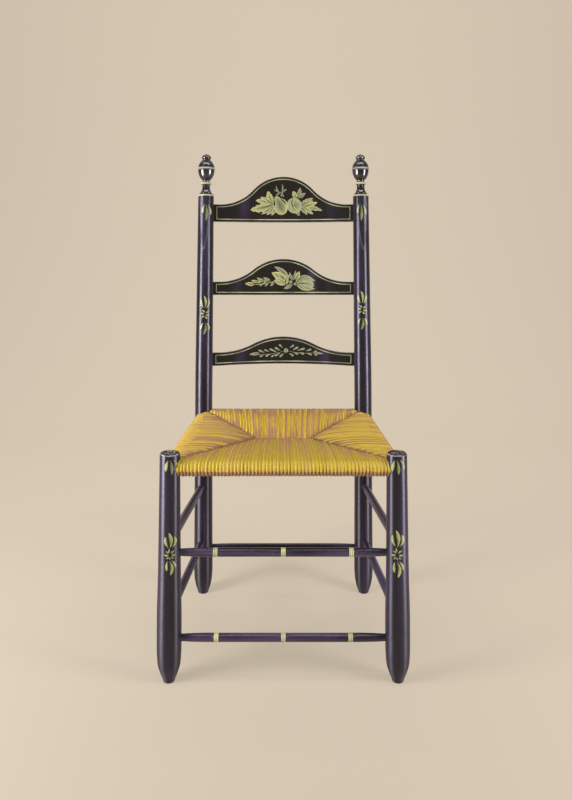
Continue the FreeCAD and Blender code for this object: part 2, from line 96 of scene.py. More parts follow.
@dataclass(frozen=True)
class Layout:
    """The chair's main sizes in metres, and the lines that its posts follow.

    Heights run up from the floor. Depths run back from the front posts' axes, and the chair's
    origin lies `origin_depth` behind them.
    """

    origin_depth: float
    width_front: float = 0.426
    width_rear: float = 0.374
    depth: float = 0.350
    rail_height: float = 0.426
    rail_stagger: float = 0.005
    front_splay: float = 0.009
    rear_splay: float = 0.0043
    front_top: float = 0.455
    shoulder: float = 0.936
    bend_start: float = 0.450
    bend_length: float = 0.090
    low_rake: float = math.radians(2.4)
    high_rake: float = math.radians(7.2)

    @property
    def rear_lean(self) -> float:
        """How far the rear posts lean sideways, in radians."""
        return math.atan2(self.rear_splay, self.rail_height)

    def front_axis(self, side: Side, height: float) -> Vector:
        """Find a point on a front post's axis.

        Args:
            side: the side of the chair.
            height: the height above the floor.

        Returns:
            The point in the chair's frame.
        """
        lean = self.front_splay / self.rail_height
        half = self.width_front / 2 + self.front_splay - height * lean
        return Vector((side.value * half, -self.origin_depth, height))

    def rear_axis(self, side: Side, height: float) -> Vector:
        """Find a point on a rear post's axis, which is bent above the seat.

        Args:
            side: the side of the chair.
            height: the height above the floor.

        Returns:
            The point in the chair's frame.
        """
        low, high = self.low_rake, self.high_rake
        radius = self.bend_length / (high - low)
        rise = radius * (math.sin(high) - math.sin(low))
        along = height / math.cos(self.rear_lean)
        depth = min(along, self.bend_start) * math.tan(low)
        bent = min(max(along - self.bend_start, 0.0), rise)
        turned = math.asin(math.sin(low) + bent / radius)
        depth += radius * (math.cos(low) - math.cos(turned))
        depth += max(along - self.bend_start - rise, 0.0) * math.tan(high)
        foot = self.depth - self.rail_height * math.tan(low)
        half = self.width_rear / 2 + self.rear_splay - height * math.tan(self.rear_lean)
        return Vector((side.value * half, foot + depth - self.origin_depth, height))


# Modelling helpers.


def eased(stations: Run, pace: float = BAND_PACE) -> Run:
    """Draw a smooth run through stations that never swells past them.

    Args:
        stations: (height, radius) pairs, from the foot upwards.
        pace: the height between two points of the run.

    Returns:
        The run's (height, radius) points, both ends included.
    """
    slopes = [(b[1] - a[1]) / (b[0] - a[0]) for a, b in zip(stations, stations[1:])]
    inner = [2 * p * q / (p + q) if p * q > 0 else 0.0 for p, q in zip(slopes, slopes[1:])]
    tangents = [slopes[0]] + inner + [slopes[-1]]
    run = [stations[0]]
    for index, (low, high) in enumerate(zip(stations, stations[1:])):
        length = high[0] - low[0]
        count = max(1, round(length / pace))
        for step in range(1, count + 1):
            t = step / count
            radius = (
                low[1] * (1 + 2 * t) * (1 - t) ** 2
                + high[1] * t * t * (3 - 2 * t)
                + length * t * (1 - t) * (tangents[index] * (1 - t) - tangents[index + 1] * t)
            )
            run.append((low[0] + length * t, radius))
    return run


def joined(*runs: Run) -> Run:
    """Join runs end to end and drop the points that repeat.

    Args:
        runs: the runs, from the foot upwards.

    Returns:
        One run.
    """
    points: Run = []
    for run in runs:
        points += [point for point in run
                   if not points or math.dist(point, points[-1]) > SAME_PLACE]
    return points


def raised(run: Run, height: float) -> Run:
    """Move a run, written in millimetres above `height`, to its place in metres."""
    return [(height + up * MM, radius * MM) for up, radius in run]


def read_run(run: Run, height: float) -> float:
    """Read a run's radius at a height, in straight steps.

    Args:
        run: (height, radius) points.
        height: the height to read at.

    Returns:
        The radius there, or the last one above the run.
    """
    for (low, low_radius), (high, high_radius) in zip(run, run[1:]):
        if low <= height <= high and high > low:
            return low_radius + (high_radius - low_radius) * (height - low) / (high - low)
    return run[-1][1]


def turned(run: Run, steps: int = TURN_STEPS) -> BMesh:
    """Spin a run round the Z axis into a closed turned shape.

    Args:
        run: (height, radius) points from the foot upwards.
        steps: how many steps the full turn has.

    Returns:
        The new mesh.
    """
    bm = bmesh.new()
    verts = [bm.verts.new((radius, 0, height)) for height, radius in run]
    edges = [bm.edges.new(pair) for pair in zip(verts, verts[1:])]
    bmesh.ops.spin(bm, geom=verts + edges, cent=(0, 0, 0), axis=UP, angle=TWO_PI, steps=steps,
                   use_merge=True, use_duplicate=False)
    bmesh.ops.remove_doubles(bm, verts=bm.verts, dist=SAME_PLACE)
    close(bm)
    return bm


def face_out(bm: BMesh) -> None:
    """Turn a mesh's faces outwards."""
    bmesh.ops.recalc_face_normals(bm, faces=bm.faces)


def close(bm: BMesh) -> None:
    """Fill a mesh's holes and turn its faces outwards."""
    bmesh.ops.holes_fill(bm, edges=[edge for edge in bm.edges if edge.is_boundary])
    face_out(bm)


def moved(bm: BMesh, place: Place) -> None:
    """Carry every vertex of a mesh to where `place` puts it."""
    for vert in bm.verts:
        vert.co = place(vert.co.copy())


def level_foot(bm: BMesh) -> None:
    """Saw a leaning post off level at the floor and close the cut."""
    bmesh.ops.bisect_plane(bm, geom=bm.verts[:] + bm.edges[:] + bm.faces[:], dist=SAME_PLACE,
                           plane_co=(0, 0, 0), plane_no=(0, 0, -1), clear_outer=True)
    close(bm)


def sliced(bm: BMesh, half: float) -> None:
    """Cut a mesh across X at even steps out to `half`, so that it can be bowed."""
    for step in range(1, SLICES):
        bmesh.ops.bisect_plane(bm, geom=bm.verts[:] + bm.edges[:] + bm.faces[:], dist=SAME_PLACE,
                               plane_co=(half * (2 * step / SLICES - 1), 0, 0), plane_no=ACROSS)


def rub_and_sheen_edges(bm: BMesh) -> None:
    """Write how exposed each vertex is to rubbing, which also places a painted edge sheen, into
    the attribute that the paint reads.

    Args:
        bm: the mesh, in its own straight form or in place.
    """
    layer = bm.verts.layers.float.new("rub")
    bm.normal_update()
    for vert in bm.verts:
        angles = [edge.calc_face_angle_signed(0.0) for edge in vert.link_edges]
        vert[layer] = min(1.0, max(angles + [0.0]) / FULL_RUB_AND_SHEEN_ANGLE)


def stand(bm: BMesh, name: str, *materials: Material) -> Object:
    """Turn a mesh into an object of the scene, shaded smooth with its sharp edges kept.

    Args:
        bm: the mesh, which is freed.
        name: the piece's name.
        materials: the finishes, in the order of the faces' material numbers.

    Returns:
        The new object, at the origin.
    """
    mesh = bpy.data.meshes.new(name)
    bm.to_mesh(mesh)
    bm.free()
    mesh.shade_smooth()
    mesh.set_sharp_from_angle(angle=SHARP_ANGLE)
    for material in materials:
        mesh.materials.append(material)
    piece = bpy.data.objects.new(name, mesh)
    bpy.context.scene.collection.objects.link(piece)
    return piece


def enter(piece: Object, slot: str, *nodes: str) -> Object:
    """Enter a piece in the chair: attach it to the root body and hide the nodes it stands for.

    Args:
        piece: the piece.
        slot: not used.
        nodes: the CAD nodes that it replaces.

    Returns:
        The same piece.
    """
    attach(piece, "root")
    if nodes:
        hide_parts(*nodes)
    LOG.info("%s: %d faces", piece.name, len(piece.data.polygons))
    return piece


# Finishes.


class Wiring:
    """Adds and links the nodes of one shader or group tree."""

    def __init__(self, tree: NodeTree) -> None:
        """Take the tree to work on."""
        self.tree = tree

    def add(self, kind: str, inputs: dict | None = None, **settings: object) -> Node:
        """Add a node.

        Args:
            kind: the node's type, without the leading ShaderNode.
            inputs: values or sockets for its inputs, by name or number.
            settings: its own properties.

        Returns:
            The new node.
        """
        node = self.tree.nodes.new("ShaderNode" + kind)
        for name, value in settings.items():
            setattr(node, name, value)
        for name, value in (inputs or {}).items():
            self.give(value, node.inputs[name])
        return node

    def give(self, value: object, socket: NodeSocket) -> None:
        """Give an input what it takes.

        Args:
            value: a socket, which is linked, or a plain value, which is set.
            socket: the input.
        """
        if isinstance(value, NodeSocket):
            self.tree.links.new(value, socket)
        else:
            socket.default_value = value

    def math(self, operation: str, *values: object, clamp: bool = False) -> NodeSocket:
        """Add a Math node and return its result."""
        node = self.add("Math", dict(enumerate(values)), operation=operation, use_clamp=clamp)
        return node.outputs[0]

    def times(self, first: object, second: object, clamp: bool = False) -> NodeSocket:
        """Multiply two numbers."""
        return self.math("MULTIPLY", first, second, clamp=clamp)

    def plus(self, first: object, second: object, clamp: bool = False) -> NodeSocket:
        """Add two numbers."""
        return self.math("ADD", first, second, clamp=clamp)

    def minus(self, first: object, second: object) -> NodeSocket:
        """Take the second number from the first."""
        return self.math("SUBTRACT", first, second)

    def ramp(self, value: NodeSocket, low: float, high: float) -> NodeSocket:
        """Turn a value between `low` and `high` into a soft step from 0 to 1."""
        node = self.add("MapRange", {"Value": value, "From Min": low, "From Max": high},
                        interpolation_type="SMOOTHSTEP")
        return node.outputs["Result"]

    def blend(self, share: object, first: object, second: object) -> NodeSocket:
        """Mix two colours by a share."""
        node = self.add("Mix", {0: share, 6: first, 7: second}, data_type="RGBA")
        return node.outputs[2]

    def attribute(self, name: str) -> NodeSocket:
        """Read a number that the mesh carries at each vertex."""
        return self.add("Attribute", attribute_name=name).outputs["Fac"]

    def group(self, name: str, inputs: dict) -> Node:
        """Place one of the shared effects, with values or sockets for its inputs."""
        return self.add("Group", inputs, node_tree=bpy.data.node_groups[name])


def new_effect(name: str, inputs: dict[str, float], outputs: list[str]) -> Wiring:
    """Start a shared effect: a node group with a Vector, numbers in and masks out.

    Args:
        name: the group's name.
        inputs: the names of its number inputs, with their usual values.
        outputs: the names of its outputs.

    Returns:
        The wiring of the group's tree.
    """
    tree = bpy.data.node_groups.new(name, "ShaderNodeTree")
    tree.interface.new_socket("Vector", in_out="INPUT", socket_type="NodeSocketVector")
    for key, value in inputs.items():
        socket = tree.interface.new_socket(key, in_out="INPUT", socket_type="NodeSocketFloat")
        socket.default_value = value
    for key in outputs:
        tree.interface.new_socket(key, in_out="OUTPUT", socket_type="NodeSocketFloat")
    wiring = Wiring(tree)
    tree.nodes.new("NodeGroupInput").name = "in"
    tree.nodes.new("NodeGroupOutput").name = "out"
    return wiring


def build_grain_effect() -> None:
    """Build the group `Wood grain`: fine fibres and slow waves, for bare and painted wood."""
    w = new_effect("Wood grain", {"Scale": 120.0, "Waver": 0.6}, ["Fibre", "Wave"])
    given, out = w.tree.nodes["in"].outputs, w.tree.nodes["out"].inputs
    fibre = w.add("TexNoise", {"Vector": given["Vector"], "Scale": given["Scale"], "Detail": 6.0,
                               "Roughness": 0.6, "Distortion": given["Waver"]})
    slow = w.times(given["Scale"], 0.16)
    wave = w.add("TexNoise", {"Vector": given["Vector"], "Scale": slow, "Detail": 2.0,
                              "Distortion": given["Waver"]})
    w.tree.links.new(w.ramp(fibre.outputs[0], 0.3, 0.7), out["Fibre"])
    w.tree.links.new(w.ramp(wave.outputs[0], 0.3, 0.7), out["Wave"])


def build_rub_and_sheen_effect() -> None:
    """Build the shared group for rubbing: paint thinned on edges by rubbing, where a painted edge
    sheen also lies, from the mesh's attribute for both.
    """
    w = new_effect("Rubbed edge and sheen", {"Rub": 0.0, "Amount": 0.5}, ["Mask"])
    given, out = w.tree.nodes["in"].outputs, w.tree.nodes["out"].inputs
    broken = w.add("TexNoise", {"Vector": given["Vector"], "Scale": 90.0, "Detail": 5.0,
                                "Roughness": 0.65})
    kept = w.minus(1.06, given["Amount"])
    wear_and_painted_light = w.plus(w.times(given["Rub"], 0.55), w.times(broken.outputs[0], 0.75))
    mask = w.times(w.minus(wear_and_painted_light, w.times(kept, 0.8)), 6.0, clamp=True)
    w.tree.links.new(w.times(mask, w.times(given["Rub"], 1.6, clamp=True)), out["Mask"])


def build_mottle_effect() -> None:
    """Build the group `Mottle`: uneven film and fine grit, for paint and stencils."""
    w = new_effect("Mottle", {"Scale": 60.0, "Grit": 900.0}, ["Cloud", "Speck"])
    given, out = w.tree.nodes["in"].outputs, w.tree.nodes["out"].inputs
    cloud = w.add("TexNoise", {"Vector": given["Vector"], "Scale": given["Scale"], "Detail": 4.0})
    speck = w.add("TexNoise", {"Vector": given["Vector"], "Scale": given["Grit"], "Detail": 2.0})
    w.tree.links.new(w.ramp(cloud.outputs[0], 0.32, 0.68), out["Cloud"])
    w.tree.links.new(w.ramp(speck.outputs[0], 0.35, 0.65), out["Speck"])


def surface(material: Material, inputs: dict) -> None:
    """Finish a material with its Principled shader.

    Args:
        material: the material, whose tree already holds what the inputs come from.
        inputs: values or sockets of the shader.
    """
    w = Wiring(material.node_tree)
    shader = w.add("BsdfPrincipled", inputs)
    output = w.tree.nodes.new("ShaderNodeOutputMaterial")
    w.tree.links.new(shader.outputs[0], output.inputs["Surface"])


def blank(name: str) -> tuple[Material, Wiring]:
    """Make an empty node material.

    Args:
        name: the finish's name.

    Returns:
        The material and the wiring of its tree.
    """
    material = bpy.data.materials.new(name)
    material.use_nodes = True
    material.node_tree.nodes.clear()
    return material, Wiring(material.node_tree)


@dataclass(frozen=True)
class BlackPaint:
    """Old black paint: violet bands that are partly uneven paint and partly painted sheen,
    and edges paled by rubbing and by a painted edge sheen.

    The grain's stretch lays brush marks and fibres along the wood, and the veil's stretch does
    the same for the violet bands. The draw is how far turning marks draw a highlight out. Each
    sheen bar is a painted violet sheen across a slat, where its bowed face catches light: its
    place from the middle, its reach and its strength.
    """

    name: str
    grain: Triple
    veil: Triple
    veil_scale: float
    veil_share: float = 1.0
    sheen_bars: tuple[Triple, ...] = ()
    draw: float = 0.0
    roughness: float = 0.30
    gloss: float = 0.8
    body: Colour = (0.0040, 0.0030, 0.0030, 1)
    # Violet of the bands and bars: partly the paint's own tone, partly painted sheen.
    violet: Colour = (0.034, 0.021, 0.052, 1)
    # Edge colour, lavender grey: rubbing and a painted edge sheen.
    wear_and_painted_light: Colour = (0.120, 0.098, 0.112, 1)
    gloss_tint: Colour = (0.84, 0.78, 1.0, 1)
    wear_and_sheen: float = 0.34

    def material(self) -> Material:
        """Build the paint's material.

        Returns:
            The material.
        """
        material, w = blank(self.name)
        place = w.add("TexCoord").outputs["Object"]
        along = w.add("Mapping", {"Vector": place, "Scale": self.grain}).outputs[0]
        banded = w.add("Mapping", {"Vector": place, "Scale": self.veil}).outputs[0]
        grain = w.group("Wood grain", {"Vector": along, "Scale": 150.0, "Waver": 0.4}).outputs
        film = w.group("Mottle", {"Vector": place, "Scale": 45.0, "Grit": 700.0}).outputs
        veil = w.group("Mottle", {"Vector": banded, "Scale": self.veil_scale,
                                  "Grit": 160.0}).outputs
        # Rubbed edges: partly rubbing, partly a painted edge sheen.
        rubbed_and_sheen = w.group("Rubbed edge and sheen", {"Vector": place, "Rub": w.attribute("rub"),
                                         "Amount": self.wear_and_sheen}).outputs["Mask"]
        # Violet bands from the veil's mottle: partly uneven paint, partly painted sheen; the bars
        # on the slats are painted sheen.
        share = w.plus(0.45 * self.veil_share, w.times(grain["Wave"], 0.55 * self.veil_share))
        thin = w.times(w.times(veil["Cloud"], veil["Cloud"]), share)
        thin = w.plus(thin, self.painted_sheen(w, place, veil["Cloud"]), clamp=True)
        colour = w.blend(rubbed_and_sheen, w.blend(thin, self.body, self.violet), self.wear_and_painted_light)
        rough = w.plus(self.roughness, w.times(film["Cloud"], 0.05))
        rough = w.plus(rough, w.times(rubbed_and_sheen, 0.20))
        relief = w.plus(w.times(grain["Fibre"], 0.8), w.times(film["Speck"], 0.2))
        bump = w.add("Bump", {"Height": relief, "Strength": 0.20, "Distance": 0.0003})
        surface(material, {"Base Color": colour, "Roughness": rough, "Normal": bump.outputs[0],
                           "Specular IOR Level": self.gloss, "Specular Tint": self.gloss_tint,
                           "Anisotropic": self.draw, "Anisotropic Rotation": 0.25})
        return material

    def painted_sheen(self, w: Wiring, place: NodeSocket, cloud: NodeSocket) -> object:
        """Wire the slat's painted violet sheen bars.

        Args:
            w: the wiring of the paint's tree.
            place: the place on the piece.
            cloud: the film's unevenness, which breaks the bars up.

        Returns:
            How strong the painted sheen is at the place.
        """
        across = w.add("SeparateXYZ", {0: place}).outputs["X"]
        total: object = 0.0
        for centre, reach, strength in self.sheen_bars:
            apart = w.math("ABSOLUTE", w.minus(across, centre))
            bar = w.times(w.ramp(w.minus(reach, apart), 0.0, reach), strength)
            total = w.plus(total, bar)
        return w.times(total, w.plus(0.35, w.times(cloud, 0.65)))


@dataclass(frozen=True)
class TurnedEnd:
    """The flat top of a front post: dark paint with pale lines along the lathe's rings, painted
    highlights on the rings as well as scuffed paint there.
    """

    name: str = "black paint, post tops"
    body: Colour = (0.012, 0.010, 0.010, 1)
    # Pale colour of the ring lines: painted highlight, with scuffing.
    wear_and_painted_light: Colour = (0.420, 0.370, 0.330, 1)
    ring_gap: float = 0.0042

    def material(self) -> Material:
        """Build the material from the mesh's `radius`.

        Returns:
            The material.
        """
        material, w = blank(self.name)
        place = w.add("TexCoord").outputs["Object"]
        mottle = w.group("Mottle", {"Vector": place, "Scale": 120.0, "Grit": 900.0}).outputs
        drift = w.times(w.minus(mottle["Cloud"], 0.5), 0.35)
        # Ring lines along the lathe's turning: painted highlights, with scuffed paint.
        rings = w.math("DIVIDE", w.attribute("radius"), self.ring_gap)
        turn = w.times(w.plus(rings, drift), TWO_PI)
        line = w.ramp(w.math("SINE", turn), 0.45, 0.90)
        kept = w.times(line, w.ramp(mottle["Cloud"], 0.15, 0.60))
        bump = w.add("Bump", {"Height": line, "Strength": 0.5, "Distance": 0.0005})
        rough = w.plus(0.48, w.times(mottle["Speck"], 0.14))
        surface(material, {"Base Color": w.blend(kept, self.body, self.wear_and_painted_light),
                           "Roughness": rough, "Normal": bump.outputs[0],
                           "Specular IOR Level": 0.25})
        return material


@dataclass(frozen=True)
class StencilPaint:
    """Stencil work in powder colours: yellow and grey greens, shaded towards olive brown."""

    name: str
    grey_green: Colour = (0.180, 0.200, 0.130, 1)
    yellow_green: Colour = (0.345, 0.330, 0.138, 1)
    olive: Colour = (0.034, 0.030, 0.017, 1)

    def material(self) -> Material:
        """Build the stencils' material from the mesh's `tone` and `shade`.

        Returns:
            The material.
        """
        material, w = blank(self.name)
        place = w.add("TexCoord").outputs["Object"]
        mottle = w.group("Mottle", {"Vector": place, "Scale": 230.0, "Grit": 1600.0}).outputs
        cloud = w.times(w.minus(mottle["Cloud"], 0.5), 0.35)
        tone = w.plus(w.attribute("tone"), cloud, clamp=True)
        light = w.blend(tone, self.grey_green, self.yellow_green)
        powder = w.times(w.minus(mottle["Speck"], 0.5), 0.22)
        shade = w.plus(w.attribute("shade"), powder, clamp=True)
        colour = w.blend(shade, light, self.olive)
        bump = w.add("Bump", {"Height": mottle["Speck"], "Strength": 0.3, "Distance": 0.0002})
        rough = w.plus(0.36, w.times(mottle["Speck"], 0.16))
        surface(material, {"Base Color": colour, "Roughness": rough, "Normal": bump.outputs[0],
                           "Specular IOR Level": 0.35})
        return material


@dataclass(frozen=True)
class LinePaint:
    """The striper's line paint, thin in places where the brush ran dry."""

    name: str
    full: Colour = (0.490, 0.485, 0.200, 1)
    dry: Colour = (0.300, 0.305, 0.150, 1)

    def material(self) -> Material:
        """Build the line paint's material.

        Returns:
            The material.
        """
        material, w = blank(self.name)
        place = w.add("TexCoord").outputs["Object"]
        run = w.group("Mottle", {"Vector": place, "Scale": 22.0, "Grit": 900.0}).outputs
        colour = w.blend(run["Cloud"], self.full, self.dry)
        bump = w.add("Bump", {"Height": run["Speck"], "Strength": 0.25, "Distance": 0.0002})
        rough = w.plus(0.34, w.times(run["Cloud"], 0.18))
        surface(material, {"Base Color": colour, "Roughness": rough, "Normal": bump.outputs[0],
                           "Specular IOR Level": 0.35})
        return material


@dataclass(frozen=True)
class BareWood:
    """Unpainted maple of the seat rails, with pores and darker rings along the rail."""

    name: str
    stretch: Triple
    pale: Colour = (0.470, 0.300, 0.150, 1)
    ring: Colour = (0.260, 0.145, 0.062, 1)

    def material(self) -> Material:
        """Build the wood's material.

        Returns:
            The material.
        """
        material, w = blank(self.name)
        place = w.add("TexCoord").outputs["Object"]
        along = w.add("Mapping", {"Vector": place, "Scale": self.stretch}).outputs[0]
        grain = w.group("Wood grain", {"Vector": along, "Scale": 260.0, "Waver": 1.1}).outputs
        share = w.plus(w.times(grain["Wave"], 0.6), w.times(grain["Fibre"], 0.35))
        bump = w.add("Bump", {"Height": grain["Fibre"], "Strength": 0.4, "Distance": 0.0004})
        rough = w.plus(0.5, w.times(grain["Fibre"], 0.25))
        surface(material, {"Base Color": w.blend(share, self.pale, self.ring),
                           "Roughness": rough, "Normal": bump.outputs[0]})
        return material


@dataclass(frozen=True)
class RushFinish:
    """Twisted rush cord: yellow strands among tan ones, browner at seams, with painted shade
    under the rail and in the grooves between strands.
    """

    name: str
    brown_share: float
    yellow: Colour = (0.520, 0.385, 0.010, 1)
    straw: Colour = (0.440, 0.300, 0.040, 1)
    tan: Colour = (0.500, 0.265, 0.115, 1)
    brown: Colour = (0.200, 0.105, 0.045, 1)
    # Grooves between strands darkened towards brown: painted shade.
    groove: Pair = (0.28, 0.49)
    groove_shade: float = 0.80
    twists_per_metre: float = 85.0
    twist_slant: float = 5.0

    def material(self) -> Material:
        """Build the rush's material from the UV map `cord` and the mesh's browning, painted light
        and shade included.

        Returns:
            The material.
        """
        material, w = blank(self.name)
        cord = w.add("SeparateXYZ", {0: w.add("UVMap", uv_map="cord").outputs[0]}).outputs
        across = w.math("FRACT", cord["Y"])
        fine = w.add("CombineXYZ", {"X": w.times(cord["X"], 40.0),
                                    "Y": w.times(cord["Y"], 9.0)}).outputs[0]
        fibre = w.add("TexNoise", {"Vector": fine, "Scale": 1.0, "Detail": 4.0,
                                   "Roughness": 0.6}).outputs[0]
        age = w.attribute("age")
        pale = w.blend(w.ramp(fibre, 0.35, 0.65), self.yellow, self.straw)
        dark = w.blend(w.times(age, fibre, clamp=True), self.tan, self.brown)
        colour = w.blend(self.browned(w, cord, age), pale, dark)
        # Painted shade in the grooves between strands.
        centre = w.math("ABSOLUTE", w.minus(across, 0.5))
        groove = w.times(w.ramp(centre, *self.groove), self.groove_shade)
        turn = w.plus(w.times(cord["X"], self.twists_per_metre * TWO_PI),
                      w.times(across, self.twist_slant))
        twist = w.times(w.plus(w.math("SINE", turn), 1.0), 0.5)
        relief = w.plus(w.times(twist, 0.55), w.times(fibre, 0.7))
        bump = w.add("Bump", {"Height": relief, "Strength": 0.5, "Distance": 0.0008})
        rough = w.plus(0.5, w.times(fibre, 0.25))
        surface(material, {"Base Color": w.blend(groove, colour, self.brown), "Roughness": rough,
                           "Normal": bump.outputs[0], "Specular IOR Level": 0.25})
        return material

    def browned(self, w: Wiring, cord: object, age: NodeSocket) -> NodeSocket:
        """Wire how far a strand has browned, with the mesh's painted light and shade.

        Each strand has its own luck, every other one is browner, and streaks run along it.

        Args:
            w: the wiring of the rush's tree.
            cord: the split UV: metres along the strand, and the strand's number across.
            age: the mesh's browning, with its painted light and shade.

        Returns:
            The share of the brown colours.
        """
        strand = w.math("FLOOR", cord["Y"])
        luck = w.add("TexWhiteNoise", {"W": strand}, noise_dimensions="1D").outputs["Value"]
        place = w.add("CombineXYZ", {"X": w.times(cord["X"], 9.0),
                                     "Y": w.times(strand, 7.31)}).outputs[0]
        streak = w.add("TexNoise", {"Vector": place, "Scale": 1.0, "Detail": 3.0}).outputs[0]
        every_other = w.math("FRACT", w.times(strand, 0.5))
        leaning = w.plus(w.times(luck, 0.50), w.times(streak, 0.75))
        leaning = w.plus(leaning, w.times(every_other, 0.44))
        leaning = w.plus(leaning, w.times(age, 0.42))
        return w.ramp(leaning, 1.18 - self.brown_share, 1.48 - self.brown_share)


class Finishes:
    """Every finish of the chair, each built once."""

    # Painted violet sheen: bars across each slat, placed where highlights fall on its bowed face.
    slat_sheen_bars: dict[str, tuple[Triple, ...]] = {
        "slat_top": ((-0.094, 0.020, 0.6), (0.114, 0.020, 0.45)),
        "slat_middle": ((-0.108, 0.018, 0.4), (0.068, 0.018, 0.9), (0.110, 0.014, 0.2)),
        "slat_bottom": ((-0.100, 0.022, 0.7), (0.098, 0.020, 0.8)),
    }

    def __init__(self) -> None:
        """Build the shared effects, then the materials."""
        build_grain_effect()
        build_rub_and_sheen_effect()
        build_mottle_effect()
        self.build_paints()
        self.build_lines()
        self.wood_across = BareWood("bare wood across", (0.05, 1, 1)).material()
        self.wood_endwise = BareWood("bare wood front to back", (1, 0.05, 1)).material()
        self.build_rush()

    def build_paints(self) -> None:
        """Build the black paint of each kind of piece, its brush marks along the wood."""
        upright, across, endwise = (1, 1, 0.06), (0.06, 1, 1), (1, 0.06, 1)
        self.upright = BlackPaint("black paint, posts", upright, (1, 1, 0.03), 62.0, 0.7, draw=0.9,
                                  roughness=0.38, gloss=0.70,
                                  violet=(0.026, 0.015, 0.044, 1)).material()
        self.boards = {
            name: BlackPaint("black paint, " + name, across, (1, 1, 0.06), 34.0, 0.04, sheen_bars,
                             gloss=0.36, body=(0.0080, 0.0058, 0.0045, 1),
                             gloss_tint=(1.0, 0.95, 0.90, 1)).material()
            for name, sheen_bars in self.slat_sheen_bars.items()
        }
        # The stretchers' paints carry more violet, and the side ones a lighter body: painted sheen
        # in place of their highlights.
        self.level = BlackPaint("black paint, across", across, across, 60.0, roughness=0.20,
                                violet=(0.066, 0.043, 0.092, 1)).material()
        self.endwise = BlackPaint("black paint, front to back", endwise, endwise, 60.0,
                                  gloss=0.22, roughness=0.22, body=(0.016, 0.010, 0.030, 1),
                                  violet=(0.070, 0.040, 0.116, 1)).material()
        self.finial = BlackPaint("black paint, finials", upright, upright, 30.0,
                                 roughness=0.15, gloss=1.0,
                                 gloss_tint=(0.95, 0.92, 1.0, 1)).material()
        self.post_top = TurnedEnd().material()

    def build_lines(self) -> None:
        """Build the paints of the stencils, bands, rings and borders."""
        self.stencil = StencilPaint("stencil paint, slats").material()
        self.sprig = StencilPaint("stencil paint, posts", (0.105, 0.145, 0.065, 1),
                                  (0.480, 0.475, 0.165, 1), (0.020, 0.026, 0.012, 1)).material()
        self.line = LinePaint("line paint, bands").material()
        self.ring = LinePaint("line paint, finials", (0.400, 0.400, 0.165, 1),
                              (0.190, 0.195, 0.115, 1)).material()
        self.border = LinePaint("line paint, borders", (0.300, 0.310, 0.150, 1),
                                (0.105, 0.115, 0.070, 1)).material()

    def build_rush(self) -> None:
        """Build the rush of each course, as brown as it is drawn there: lit and shaded copies,
        which paint each course's light and shade.
        """
        self.rush = {
            "front": RushFinish("rush front", 0.60).material(),
            # The rear course is yellower: painted light where less lamp light reaches it.
            "rear": RushFinish("rush rear", 0.50, yellow=(0.760, 0.555, 0.016, 1),
                               tan=(0.540, 0.286, 0.130, 1)).material(),
            "left": RushFinish("rush left", 0.62, (0.540, 0.390, 0.010, 1),
                               (0.450, 0.300, 0.035, 1), (0.300, 0.154, 0.060, 1)).material(),
            "right": RushFinish("rush right", 0.44, (0.560, 0.415, 0.010, 1),
                                (0.470, 0.325, 0.025, 1), (0.300, 0.154, 0.058, 1)).material(),
        }


# Stencils and lines.


TEETH = 4.5  # along a lobed leaf, the first of them cut short at its base
FIRST_TOOTH = 0.15


class Form(Enum):
    """The cut shapes of the stencils."""

    LEAF = "leaf"
    LOBED = "lobed leaf"
    DROP = "drop"
    ROUND = "round"
    PEAR = "pear"
    STEM = "stem"
    VEIN = "vein"
    BLADE = "blade"

    @staticmethod
    def tooth(t: float) -> float:
        """Give how far a place along a lobed leaf lies past its last notch."""
        return (t * TEETH + FIRST_TOOTH) % 1.0

    def width(self, t: float) -> float:
        """Give the shape's width along its rib.

        Args:
            t: the share of its length, from the base.

        Returns:
            The width, as a share of its widest.
        """
        if self is Form.LEAF:
            return math.sin(math.pi * t**0.75) ** 0.85
        if self is Form.BLADE:
            return max(0.0, math.sin(math.pi * t**1.4)) ** 0.75
        if self is Form.LOBED:
            return math.sin(math.pi * t**0.8) ** 0.7 * (1 - 0.42 * self.tooth(t))
        if self is Form.DROP:
            return (t / 0.74) ** 0.7 if t < 0.74 else math.sqrt(1 - ((t - 0.74) / 0.26) ** 2)
        if self is Form.ROUND:
            return math.sqrt(max(0.0, 1 - (2 * t - 1) ** 2))
        if self is Form.PEAR:
            if t < 0.12:
                return 0.44 * math.sqrt(1 - ((0.12 - t) / 0.12) ** 2)
            rise = min(1.0, (t - 0.12) / 0.56)
            if rise < 1:
                return 0.44 + 0.56 * rise * rise * (3 - 2 * rise)
            return math.sqrt(max(0.0, 1 - ((t - 0.68) / 0.32) ** 2))
        return 0.5 + 0.5 * math.sin(math.pi * t)

    def shade(self, t: float, s: float) -> float:
        """Give how far the shape's powder is shaded.

        Args:
            t: the share of the length, from the base.
            s: the place across, from -1 to 1.

        Returns:
            The share of the shading colour.
        """
        rib = 1 - abs(s)
        midrib = 0.35 * max(0.0, 1 - abs(s) / 0.3)
        if self is Form.VEIN:
            return 0.85
        if self is Form.BLADE:
            return 0.08 + 0.62 * (0.5 - 0.5 * s) ** 1.3 + 0.25 * (1 - t) ** 2
        if self is Form.STEM:
            return 0.25
        if self is Form.ROUND:
            return 0.12 + 0.62 * max(0.0, 1 - math.hypot(2 * t - 1, s) * 1.05)
        if self is Form.PEAR:
            return 0.10 + 0.78 * rib * math.sin(math.pi * min(1.0, t * 1.05)) ** 0.7
        if self is Form.DROP:
            return 0.60 * rib * (1 - t) ** 0.5 + midrib * (1 - t)
        if self is Form.LOBED:
            notch = 0.30 * abs(s) * max(0.0, 1 - self.tooth(t) * 4)
            return 0.72 * (1 - t) ** 0.8 * rib**0.5 + midrib + notch
        return 0.80 * (1 - t) ** 0.7 * rib**0.6 + midrib


